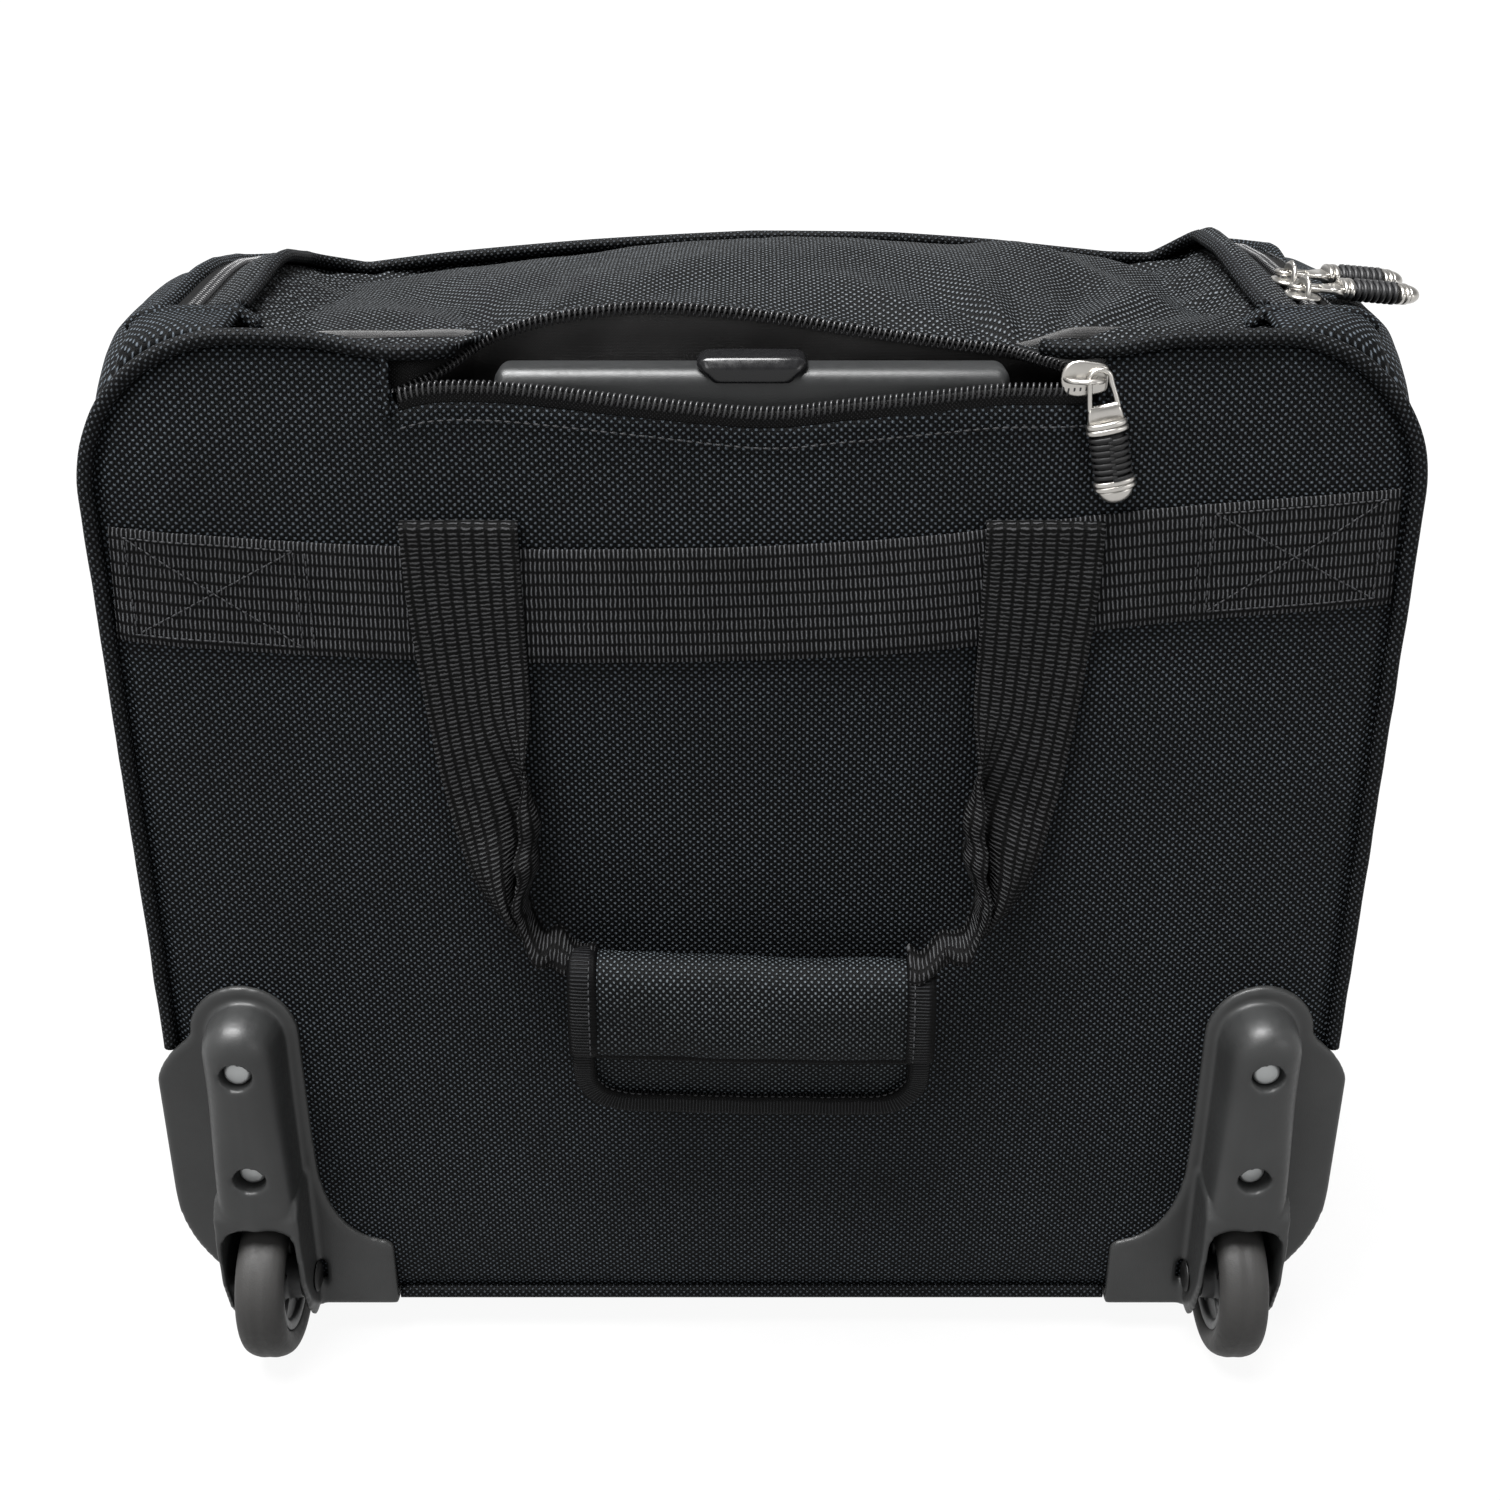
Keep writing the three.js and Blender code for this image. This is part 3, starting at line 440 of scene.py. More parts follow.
def cloth_finish(s, flat, place, height, thread, gap, bump, tone):
    fibre = s.noise(3.2, 3.0, place, 0.7)
    large = s.noise(0.022, 4.0, flat, 0.6)
    bright = s.math("MULTIPLY", s.range(large, 0.3, 0.7, 1 - tone, 1 + tone), s.range(fibre, 0.3, 0.7, 0.62, 1.38))
    shade = s.add("VectorMath", {0: s.mix(height, gap, thread), "Scale": bright}, operation="SCALE").outputs[0]
    s.link(shade, "Base Color")
    s.bump(s.math("ADD", height, s.math("MULTIPLY", fibre, 0.2)), bump, 0.9)
    return s.material


def wave(s, value, period, phase=0.0):
    turned = s.math("MULTIPLY_ADD", value, 2 * math.pi / period)
    turned.node.inputs[2].default_value = phase
    return s.math("COSINE", turned)


def woven(name, thread, gap, pitch, row, bump, roughness=0.6, wander=0.9, tone=0.16):
    """Cloth of rounded floats, staggered from row to row; pitch and row in millimetres."""
    s, flat, place, u, v = cloth_base(name, wander, roughness)
    product = s.math("MULTIPLY", wave(s, u, pitch), wave(s, v, row * 2))
    height = s.range(product, 0.03, 0.86)
    height.node.interpolation_type = "SMOOTHSTEP"
    return cloth_finish(s, flat, place, height, thread, gap, bump, tone)


def webbed(name, thread, gap, bar=1.45, row=4.3, bump=0.9, wander=0.35, tone=0.14):
    """Webbing: rows along its length, each of short bars lying across."""
    s, flat, place, u, v = cloth_base(name, wander, 0.58)
    rows = s.range(wave(s, v, row, math.pi), -1.0, -0.3, 0.02, 1.0)
    rows.node.interpolation_type = "SMOOTHSTEP"
    bars = s.range(wave(s, u, bar), -0.15, 0.8, 0.0, 1.0)
    return cloth_finish(s, flat, place, s.math("MULTIPLY", rows, bars), thread, gap, bump, tone)


def lining(name, colour, weave=0.5):
    s = Shader(name, Roughness=0.45, Specular_IOR_Level=0.3)
    flat = s.weave_coords()
    fine = s.add("TexBrick", {"Vector": flat, "Scale": 0.5 / weave, "Mortar Size": 0.1, "Mortar Smooth": 1.0, "Brick Width": 0.5, "Row Height": 0.5})
    large = s.noise(0.05, 3.0, flat)
    dark = tuple(c * 0.55 for c in colour)
    s.link(s.mix(s.range(large, 0.3, 0.7), dark, colour), "Base Color")
    s.bump(s.math("SUBTRACT", 1.0, fine.outputs["Fac"]), 0.12, 0.6)
    return s.material


def plastic(name, colour, roughness=0.45, grain=0.05, size=2600.0, wear=0.25):
    s = Shader(name, Roughness=roughness, Specular_IOR_Level=0.32)
    place = s.object_coords()
    cells = s.add("TexVoronoi", {"Vector": place, "Scale": size, "Randomness": 1.0}).outputs["Distance"]
    cloud = s.noise(28.0, 4.0, place, 0.6)
    fine = s.noise(420.0, 3.0, place, 0.7)
    light = tuple(min(1, c * (1 + wear)) for c in colour)
    dark = tuple(c * (1 - wear * 0.6) for c in colour)
    s.link(s.mix(s.range(cloud, 0.3, 0.7), dark, light), "Base Color")
    s.link(s.range(fine, 0.25, 0.75, roughness - 0.07, roughness + 0.1), "Roughness")
    s.bump(cells, grain, 0.7)
    return s.material


def metal(name, colour, roughness=0.2, brushed=0.0, wear=0.2):
    s = Shader(name, Metallic=1.0)
    place = s.object_coords()
    cloud = s.noise(120.0, 4.0, place, 0.7)
    fine = s.noise(1500.0, 3.0, place, 0.7)
    dark = tuple(c * (1 - wear) for c in colour)
    s.link(s.mix(s.range(cloud, 0.35, 0.65), dark, colour), "Base Color")
    s.link(s.range(cloud, 0.3, 0.7, roughness * (1 - wear), roughness * (1 + 2 * wear)), "Roughness")
    s.bump(fine, 0.02 + brushed, 0.35)
    return s.material


BODY_FABRIC = woven("body_fabric", (0.056, 0.066, 0.077), (0.0001, 0.0002, 0.0003), 2.75, 1.25, 1.3)
LID_FABRIC = woven("lid_fabric", (0.074, 0.081, 0.088), (0.0002, 0.0003, 0.0004), 2.75, 1.25, 1.4)
PIPING_FABRIC = woven("piping_fabric", (0.033, 0.037, 0.042), (0.0003, 0.0004, 0.0005), 2.6, 1.2, 0.9)
WRAP_FABRIC = woven("wrap_fabric", (0.058, 0.067, 0.074), (0.0004, 0.0005, 0.0006), 2.5, 1.2, 1.0, tone=0.3)
WEBBING = webbed("webbing", (0.068, 0.07, 0.074), (0.0002, 0.0002, 0.0003), bar=1.55, bump=1.5, wander=0.7)
STRAP_WEBBING = webbed("strap_webbing", (0.036, 0.0365, 0.038), (0.0002, 0.0002, 0.0002), bar=1.55, bump=1.5, wander=1.2)
BINDING = webbed("binding", (0.0135, 0.014, 0.015), (0.0003, 0.0003, 0.0004), 1.2, 9.0, 0.8, 0.2)
# near-black webbing used only for the strip under the wrap's fold: painted shadow standing in for the dark slit there
FOLD_SHADOW_STRIP = webbed("fold_shadow_strip", (0.003, 0.003, 0.0035), (0.0002, 0.0002, 0.0002), 1.2, 4.0, 0.4, 0.2)
TAPE = woven("zip_tape", (0.011, 0.011, 0.0115), (0.0015, 0.0015, 0.0015), 1.3, 0.65, 0.2, wander=0.3)
LINING = lining("lining", (0.008, 0.0075, 0.0075))
COIL = plastic("zip_coil", (0.02, 0.02, 0.021), 0.3, 0.01, 900.0)
THREAD = plastic("thread", (0.013, 0.0135, 0.015), 0.6, 0.02, 4000.0)
MOULDED = plastic("moulded_plastic", (0.0152, 0.0156, 0.0156), 0.42, 0.05)
GRIP_PLASTIC = plastic("grip_plastic", (0.0105, 0.011, 0.0113), 0.42, 0.04)
BUTTON_PLASTIC = plastic("button_plastic", (0.0045, 0.0045, 0.005), 0.25, 0.008)
TYRE = plastic("tyre", (0.0135, 0.013, 0.0125), 0.6, 0.06, 1400.0, 0.35)
HUB_PLASTIC = plastic("hub_plastic", (0.024, 0.0245, 0.025), 0.4, 0.04)
PULL_RUBBER = plastic("pull_rubber", (0.006, 0.006, 0.0065), 0.5, 0.03, 3000.0)
BOARD = plastic("board", (0.02, 0.02, 0.022), 0.5, 0.08, 900.0)
NICKEL = metal("nickel", (0.44, 0.425, 0.4), 0.3, wear=0.08)
STEEL = metal("steel", (0.45, 0.45, 0.45), 0.32)
DARK_STEEL = metal("dark_steel", (0.045, 0.045, 0.045), 0.5)
ALUMINIUM = metal("aluminium", (0.3, 0.31, 0.32), 0.35)
RIVET = metal("rivet", (0.42, 0.43, 0.43), 0.55)


# ------------------------------------------------------------------ outlines
def half_outline(grow, low_corner=CORNER_LOW, top_corner=CORNER_TOP, top=400.0, arc=18):
    """The right-hand outline from the middle of the base to the middle of the top."""
    half, base, high = HALF + grow, BASE - grow, top + grow
    rl, rt = low_corner + grow, top_corner + grow
    a = np.radians(np.linspace(-90, 0, arc))
    b = np.radians(np.linspace(0, 90, arc))
    low = np.stack([half - rl + rl * np.cos(a), base + rl + rl * np.sin(a)], 1)
    up = np.stack([half - rt + rt * np.cos(b), high - rt + rt * np.sin(b)], 1)
    return np.vstack([[[0, base]], low, up, [[0, high]]])


def ring_at(y, inset, counts=(90, 16, 60, 22, 150)):
    """One closed ring of the body's swelling skin, with the same number of points at every y."""
    top, corner, crown = swell(y)
    half, base, high = HALF - inset, BASE + inset, float(top) - inset
    rl, rt = CORNER_LOW - inset, float(corner) - inset
    n_base, n_low, n_side, n_top, n_roof = counts
    parts = []
    x = np.linspace(-(half - rl), half - rl, n_base, endpoint=False)
    parts.append(np.stack([x, np.full_like(x, base)], 1))
    a = np.radians(np.linspace(-90, 0, n_low, endpoint=False))
    parts.append(np.stack([half - rl + rl * np.cos(a), base + rl + rl * np.sin(a)], 1))
    z = np.linspace(base + rl, high - rt, n_side, endpoint=False)
    parts.append(np.stack([np.full_like(z, half), z], 1))
    a = np.radians(np.linspace(0, 90, n_top, endpoint=False))
    parts.append(np.stack([half - rt + rt * np.cos(a), high - rt + rt * np.sin(a)], 1))
    x = np.linspace(half - rt, -(half - rt), n_roof, endpoint=False)
    level = high + float(crown) * (1 - (x / (half - rt)) ** 2)
    parts.append(np.stack([x, level], 1))
    a = np.radians(np.linspace(90, 180, n_top, endpoint=False))
    parts.append(np.stack([-(half - rt) + rt * np.cos(a), high - rt + rt * np.sin(a)], 1))
    z = np.linspace(high - rt, base + rl, n_side, endpoint=False)
    parts.append(np.stack([np.full_like(z, -half), z], 1))
    a = np.radians(np.linspace(180, 270, n_low, endpoint=False))
    parts.append(np.stack([-(half - rl) + rl * np.cos(a), base + rl + rl * np.sin(a)], 1))
    return np.vstack(parts)


LIP_LOW = [(-118, 381), (-104, 384.6), (-87, 385), (-70, 383.8), (-36, 380), (3, 376.6), (30, 379), (55, 381.5), (80, 384), (97, 384.2), (112, 385)]
LIP_TOP = [(-119, -78.8, 381.8), (-113, -78.8, 383.8), (-104, -72, 387), (-97, -64, 390.5), (-90, -56.5, 394.4), (-74, -54, 400.2), (-55, -53.3, 403.6), (-32, -53, 405.3),
           (3, -53, 402.6), (31, -53.3, 398.4), (62, -53.8, 394.2), (83, -54.3, 391.6), (93, -61, 390.4), (102, -72, 389.4), (108, -79, 388.4), (117, -78.8, 388.2)]
FLAP_EDGE = [(-180, -75.4, 397.4), (-145, -75.8, 397.7), (-130, -75.8, 396.5), (-116, -76, 394.9), (-104, -73.5, 395.4), (-95, -66, 396.0), (-87, -56.5, 397.6),
             (-72, -53, 402), (-55, -52.2, 405), (-32, -52, 406.6), (3, -52, 403.9), (31, -52.2, 399.8), (62, -52.8, 395.5), (83, -53.2, 392.8),
             (94, -60, 391.6), (104, -71, 392.4), (114, -75.6, 395), (130, -75.8, 397.7), (145, -75.8, 398.9), (180, -75.4, 398.6)]
_low_line = smooth_line(LIP_LOW, 240)
_top_line = smooth_line(LIP_TOP, 240)
_flap_line = smooth_line(FLAP_EDGE, 360)


def low_lip(x):
    """Height of the mouth's lower lip."""
    return np.interp(x, _low_line[:, 0], _low_line[:, 1])


def on_line(line, x):
    return np.interp(x, line[:, 0], line[:, 1]), np.interp(x, line[:, 0], line[:, 2])


def piping_dip(x):
    """The back piping sinks a little beside both ends of the mouth."""
    return -4.8 * bell(x, MOUTH_LEFT + 2, 20) - 4.0 * bell(x, MOUTH_RIGHT - 2, 19)


# ------------------------------------------------------------------ back panel
def panel_puff(x, z, edge):
    """How far the stuffed panel stands out, from its distance to the seam."""
    field = np.stack([x, z, np.zeros_like(x)], -1)
    soft = 1.6 * ease(2, 26, edge) + 0.9 * ease(20, 90, edge)
    waves = 0.75 * rumple(field, 85.0, 3) + 0.35 * rumple(field, 30.0, 5)
    tucks = 0.9 * bell(z, 305 + 0.02 * x, 26) * bell(np.abs(x), 150, 30)
    return soft + ease(3, 22, edge) * (waves - 0.5 * tucks) - 2.0 * (1 - ease(0, 4.5, edge))


def edge_distance(x, z, half, base, top, rl, rt):
    cx = np.abs(x)
    low = np.minimum(half - cx, z - base)
    low = np.minimum(low, top - z)
    dx, dz = cx - (half - rl), (base + rl) - z
    low = np.where((dx > 0) & (dz > 0), rl - np.hypot(dx, dz), low)
    dx, dz = cx - (half - rt), z - (top - rt)
    return np.where((dx > 0) & (dz > 0), rt - np.hypot(dx, dz), low)


def back_y(x, z):
    x, z = np.asarray(x, float), np.asarray(z, float)
    edge = edge_distance(x, z, HALF - 2.6, BASE + 2.6, 397.4, 43.4, 49.4)
    return BACK - panel_puff(x, z, np.clip(edge, 0, None))


def panel_columns(half, corner_low, corner_top):
    """x of the columns, close together over the rounded corners."""
    a = np.sin(np.radians(np.linspace(0, 90, 22)))
    ends = (half - corner_top) + corner_top * a
    middle = np.linspace(-(half - corner_top), half - corner_top, 118)
    return np.concatenate([-ends[::-1][:-1], middle[1:-1], ends[:-1]])


def bottom_of(x, half, base, r):
    d = np.clip(np.abs(x) - (half - r), 0, r)
    return base + r - np.sqrt(np.clip(r**2 - d**2, 0, None))


def top_of(x, half, top, r):
    d = np.clip(np.abs(x) - (half - r), 0, r)
    return top - r + np.sqrt(np.clip(r**2 - d**2, 0, None))


def make_back_panel():
    half, base, top = HALF - 1.0, BASE + 1.0, 398.8
    x = panel_columns(half, 43.4, 49.4)
    low = bottom_of(x, half, base, 43.4)
    high = top_of(x, half, top, 49.4) + piping_dip(x) * ease(60, 120, np.abs(x))
    inside = (x > MOUTH_LEFT - 3) & (x < MOUTH_RIGHT + 3)
    lip = low_lip(np.clip(x, MOUTH_LEFT, MOUTH_RIGHT)) - 5.0
    share = ease(MOUTH_LEFT - 2, MOUTH_LEFT + 1, x) * (1 - ease(MOUTH_RIGHT - 1, MOUTH_RIGHT + 2, x))
    high = np.where(inside, high + (lip - high) * share, high)
    v = np.linspace(0, 1, 130)[:, None]
    X = np.broadcast_to(x, (130, len(x)))
    Z = low + (high - low) * v
    Y = back_y(X, Z)
    P = np.stack([X, Y, Z], -1)
    obj = grid_object("back_panel_fabric", P, np.stack([X, Z], -1))
    thicken(obj, 2.4)
    return finish_piece(obj, BODY_FABRIC, "case", ["back_panel"])


# ------------------------------------------------------------------ gusset
SUNK = [(-222, 4), (-184, 7), (-168, 10.5), (-150, 14.5), (-122, 12.5), (-62, 9.5), (0, 7), (55, 7), (94, 8.5), (118, 10), (138, 11), (156, 10.5),
        (174, 1.5), (222, 1)]


def settled(x, y):
    """How far the unstuffed front of the top has sunk."""
    table = np.array(SUNK, float)
    return ease(-5, 70, y) * np.interp(x, table[:, 0], table[:, 1])


def roof_z(x, y):
    return surface_z(x, y) - settled(x, y)


def lid_gap(x, y):
    """How far a point of the top is inside the U of the main zip, from its centre line."""
    r = 34.85
    dx = np.abs(x) - (ZIP_X - r)
    dy = y - (LID_FRONT + 5.15 - r)
    rounded = r - np.hypot(np.clip(dx, 0, None), np.clip(dy, 0, None))
    plain = np.minimum(ZIP_X - np.abs(x), LID_FRONT + 5.15 - y)
    return np.where((dx > 0) & (dy > 0), rounded, plain)


def make_gusset():
    rows = np.concatenate([[-77.2], np.linspace(-75.3, -47, 13), np.linspace(-43, 98.3, 44), [101.2]])
    P = []
    for y in rows:
        ring = ring_at(y, 0.4)
        P.append(np.column_stack([ring[:, 0], np.full(len(ring), y), ring[:, 1]]))
    P = np.array(P)
    X, Y, Z = P[..., 0].copy(), P[..., 1].copy(), P[..., 2].copy()
    first = np.array([0] * P.shape[1])
    n_base, n_low, n_side, n_top, n_roof = 90, 16, 60, 22, 150
    roof = np.zeros(P.shape[1], bool)
    start = n_base + n_low + n_side
    roof[start : start + 2 * n_top + n_roof] = True
    # sides and top swell between the seams
    seam = np.sin(np.pi * np.clip((rows + 75.3) / (98.3 + 75.3), 0, 1))[:, None] ** 0.6
    around = rumple(P, 70.0, 11)
    fine = rumple(P, 26.0, 12)
    sides = np.sign(X) * ease(150, 214, np.abs(X)) * ease(70, 110, Z)
    X += sides * (seam * (1.2 + 1.1 * around + 0.35 * fine) - 1.4 * (1 - ease(0, 10, rows + 75.3))[:, None])
    # the rear edge of the top follows the piping
    near = ease(0, 1, 1 - np.clip((rows + 75.3) / 28.3, 0, 1))[:, None]
    Z = Z + np.where(roof[None], piping_dip(X[0])[None] * near, 0) - settled(X, Y) * ease(345, 395, Z)
    # folds on the top between the zip and the rear edge
    Z = Z + np.where(roof[None] & (rows[:, None] > -47), seam * (0.9 * around + 0.5 * fine) * 0.6, 0)
    P = np.stack([X, Y, Z], -1)
    ring = np.vstack([P[20], P[20][:1]])
    around_mm = np.concatenate([[0], np.cumsum(np.linalg.norm(np.diff(ring, axis=0), axis=1))])
    UV = np.stack(np.meshgrid(rows, around_mm, indexing="ij"), -1)
    centre_x = (X[:-1] + X[1:]) / 2
    cx = (centre_x + np.roll(centre_x, -1, 1)) / 2
    cy = (Y[:-1] + Y[1:]) / 2
    cz = (Z[:-1] + Z[1:]) / 2
    inside = (np.abs(cx) < FLAP_HALF - 1.5) & (rows[:-1, None] < -46.5) | (lid_gap(cx, cy) > 1.5) & (rows[:-1, None] > -47.1)
    hole = roof[None] & np.roll(roof, -1)[None] & inside & (cz > 370)
    wells = (np.abs(np.abs(cx) - 189) < 20) & (cy < -49) & (cz < 73)
    obj = grid_object("gusset_fabric", P, UV, wrap=(False, True), flip=True, keep=~(hole | wells))
    thicken(obj, 3.2)
    return finish_piece(obj, BODY_FABRIC, "case", ["gusset_shell"])


# ------------------------------------------------------------------ piping
def piping_line(side, mouth_x):
    outline = half_outline(PIPE_OUT, arc=30)
    run = outline[30:]  # from the side up over the top corner
    points = [(HALF + PIPE_OUT, 134.0)] + [tuple(p) for p in run[1:-1]]
    x = np.linspace(HALF - CORNER_TOP, mouth_x, 24)[1:]
    points += [(v, 400.6) for v in x]
    line, _ = resample(points, step=3.0)
    line = np.column_stack([side * line[:, 0], np.full(len(line), PIPE_BACK), line[:, 1]])
    line[:, 2] += piping_dip(line[:, 0]) * (line[:, 2] > 380)
    tail = [(side * (abs(line[-1, 0]) - d), line[-1, 1] + 0.035 * d * d, line[-1, 2] - 0.004 * d * d) for d in (3, 6, 9, 12, 15)]
    return np.vstack([line, tail])


def make_piping():
    made = []
    for name, side, mouth_x in (("right", 1, MOUTH_RIGHT - 3), ("left", -1, -4 - MOUTH_LEFT)):
        line = piping_line(side, mouth_x)
        line = line + 0.25 * np.stack([rumple(line, 18.0, 21 + side), rumple(line, 18.0, 24 + side), rumple(line, 18.0, 27 + side)], -1)
        obj = sweep(f"piping_back_{name}_cord", line, round_section(PIPE_R - 0.4, 14), (0, 1, 0))
        made.append(finish_piece(obj, PIPING_FABRIC, "case", [f"piping_back_{name}"]))
    base = np.column_stack([np.linspace(-141.5, 141.5, 60), np.full(60, PIPE_BACK), np.full(60, BASE - PIPE_OUT)])
    obj = sweep("piping_base_cord", base, round_section(PIPE_R - 0.4, 14), (0, 1, 0))
    finish_piece(obj, PIPING_FABRIC, "case", ["piping_back_base"])
    right = half_outline(PIPE_OUT, top_corner=44.0, arc=24)
    crown = np.array([(x, 400.6 + 3 * (1 - (x / (HALF - 44)) ** 2)) for x in np.linspace(HALF - 44, 0, 20)[1:]])
    right = np.vstack([right[:-1], crown])
    left = right[::-1][1:-1] * (-1, 1)
    line, _ = resample(np.vstack([right, left, right[:1]]), step=3.2)
    line = line[:-1]
    line = np.column_stack([line[:, 0], np.full(len(line), PIPE_FRONT), line[:, 1]])
    line[:, 2] -= settled(line[:, 0], 90.0) * ease(345, 395, line[:, 2])
    obj = sweep("piping_front_cord", line, round_section(PIPE_R, 12), (0, 1, 0), closed=True)
    finish_piece(obj, PIPING_FABRIC, "case", ["piping_front"])
    return made


# ------------------------------------------------------------------ zips
def coil_mesh(name, line, up, wire=0.42, radius=1.75, pitch=1.9, turns_shape=0.75, per_turn=9):
    """A nylon coil round a line, flattened along the up direction."""
    up = np.broadcast_to(np.asarray(up, float), (len(line), 3))
    both, along = resample(np.hstack([line, up * 1e-3]), step=0.6)
    line = both[:, :3]
    _, side, normal = frames_along(line, both[:, 3:])
    total = along[-1]
    count = int(total / pitch * per_turn)
    s = np.linspace(0, total, count)
    angle = 2 * math.pi * s / pitch
    pick = lambda a: np.stack([np.interp(s, along, a[:, k]) for k in range(3)], 1)
    centre = pick(line) + pick(side) * (radius * np.cos(angle))[:, None] + pick(normal) * (radius * turns_shape * np.sin(angle))[:, None]
    tangent = np.gradient(centre, axis=0)
    tangent /= np.linalg.norm(tangent, axis=1, keepdims=True)
    outward = centre - pick(line)
    outward /= np.maximum(np.linalg.norm(outward, axis=1, keepdims=True), 1e-6)
    cross = np.cross(tangent, outward)
    a = np.linspace(0, 2 * math.pi, 4, endpoint=False) + math.pi / 4
    P = centre[:, None] + wire * (outward[:, None] * np.cos(a)[None, :, None] + cross[:, None] * np.sin(a)[None, :, None])
    UV = np.stack(np.meshgrid(s, np.linspace(0, 2.6, 5), indexing="ij"), -1)
    return grid_object(name, P, UV, wrap=(False, True))


def ribbon(name, line, direction, near, far, thickness, columns=5, lift=None, up=None):
    """A flat strip beside a line: from near to far along a direction, which may vary along the line."""
    line = np.asarray(line, float)
    direction = np.broadcast_to(np.asarray(direction, float), line.shape)
    t = np.linspace(near, far, columns)
    P = line[:, None] + direction[:, None] * t[None, :, None]
    if lift is not None:
        P = P + lift(P)
    along = np.concatenate([[0], np.cumsum(np.linalg.norm(np.diff(line, axis=0), axis=1))])
    UV = np.stack(np.meshgrid(along, t, indexing="ij"), -1)
    obj = grid_object(name, P, UV)
    thicken(obj, thickness, 0.0)
    return obj


def stitch_mesh(name, line, normal, pitch=3.1, length=2.2, radius=0.32):
    """A row of stitches lying on a surface."""
    line, along = resample(line, step=0.8)
    verts, faces = [], []
    tangent = np.gradient(line, axis=0)
    tangent /= np.linalg.norm(tangent, axis=1, keepdims=True)
    normal = np.broadcast_to(np.asarray(normal, float), line.shape)
    for s in np.arange(pitch / 2, along[-1], pitch):
        at = np.array([np.interp(s, along, line[:, k]) for k in range(3)])
        t = np.array([np.interp(s, along, tangent[:, k]) for k in range(3)])
        n = np.array([np.interp(s, along, normal[:, k]) for k in range(3)])
        n = n / np.linalg.norm(n)
        b = np.cross(t, n)
        start = len(verts)
        for place, size, rise in ((-1, 0.35, -0.5), (-0.6, 1, 0.1), (0, 1.1, 0.35), (0.6, 1, 0.1), (1, 0.35, -0.5)):
            for k in range(6):
                a = k * math.pi / 3
                verts.append(at + t * place * length / 2 + radius * size * (b * math.cos(a) + n * math.sin(a)) + n * rise * radius)
        for ring in range(4):
            for k in range(6):
                a, b2 = start + ring * 6 + k, start + ring * 6 + (k + 1) % 6
                faces.append((a, b2, b2 + 6, a + 6))
    return raw_object(name, verts, faces)


def make_rear_zip():
    x = np.linspace(MOUTH_LEFT + 2, MOUTH_RIGHT - 4, 120)
    lip = low_lip(x)
    low = np.column_stack([x, np.full_like(x, -81.0), lip])
    tape = ribbon("rear_tape_low", low + (0, 0.5, 0), (0, 0, -1), -0.4, 11.0, 0.7, 6)
    coil = coil_mesh("rear_coil_low", low, (0, 1, 0), radius=2.0)
    finish_piece(tape, TAPE, "case", ["rear_zip_tape_lower"])
    finish_piece(coil, COIL, "case")
    bars = []
    for at, low_z, high_z in ((MOUTH_LEFT - 1.5, 376.0, 395.5), (MOUTH_RIGHT + 0.5, 379.0, 392.0)):
        z = np.linspace(low_z, high_z, 14)
        post = np.column_stack([np.full(14, at) + 0.4 * np.sin(z), back_y(np.full(14, at), z) - 0.4, z])
        bars.append(sweep("bar", post, rounded_box_section(3.0, 2.2, 0.9, 3), (0, 1, 0)))
    finish_piece(join("mouth_end_bars", bars), BODY_FABRIC, "case")
    seam = np.column_stack([x, back_y(x, lip - 10) - 0.5, lip - 10.5 - 1.5 * ease(-60, 60, x)])
    finish_piece(stitch_mesh("rear_tape_stitches", seam, (0, -1, 0)), THREAD, "case")

    top = resample(_top_line, count=130)[0]
    edge_y, edge_z = on_line(_flap_line, top[:, 0])
    edge = np.column_stack([top[:, 0], edge_y + 2.5, edge_z + 0.4])
    t = np.linspace(0, 1, 6)
    P = top[:, None] + (edge - top)[:, None] * t[None, :, None]
    width = np.linalg.norm(edge - top, axis=1).max()
    UV = np.stack(np.meshgrid(np.linspace(0, 240, 130), t * width, indexing="ij"), -1)
    tape = thicken(grid_object("rear_tape_top", P, UV), 0.7, 1.0)
    slope = edge - top
    slope /= np.linalg.norm(slope, axis=1, keepdims=True)
    open_part = (top[:, 0] > -115.5) & (top[:, 0] < 107)
    coil = coil_mesh("rear_coil_top", (top - slope * 0.6)[open_part], slope[open_part], radius=2.0)
    finish_piece(tape, TAPE, "case", ["rear_zip_tape_upper"])
    finish_piece(coil, COIL, "case")


def main_track(offset=0.0, y_start=-46.6, lift=0.0, step=3.0):
    """The U of the main zip, seen from above, moved outwards by an offset."""
    half = ZIP_X + offset
    front = LID_FRONT + 5.15 + offset
    r = 34.85 + offset
    a = np.radians(np.linspace(0, 90, 16))
    corner = np.stack([half - r + r * np.cos(a), front - r + r * np.sin(a)], 1)
    right = np.vstack([[(half, y_start)], corner, [(0, front)]])
    left = right[::-1][1:] * (-1, 1)
    line, _ = resample(np.vstack([right, left]), step=step)
    z = roof_z(line[:, 0], line[:, 1]) + lift
    return np.column_stack([line, z])


def track_outward(line):
    tangent = np.gradient(line, axis=0)
    tangent[:, 2] = 0
    tangent /= np.linalg.norm(tangent, axis=1, keepdims=True)
    return np.column_stack([tangent[:, 1], -tangent[:, 0], np.zeros(len(line))])


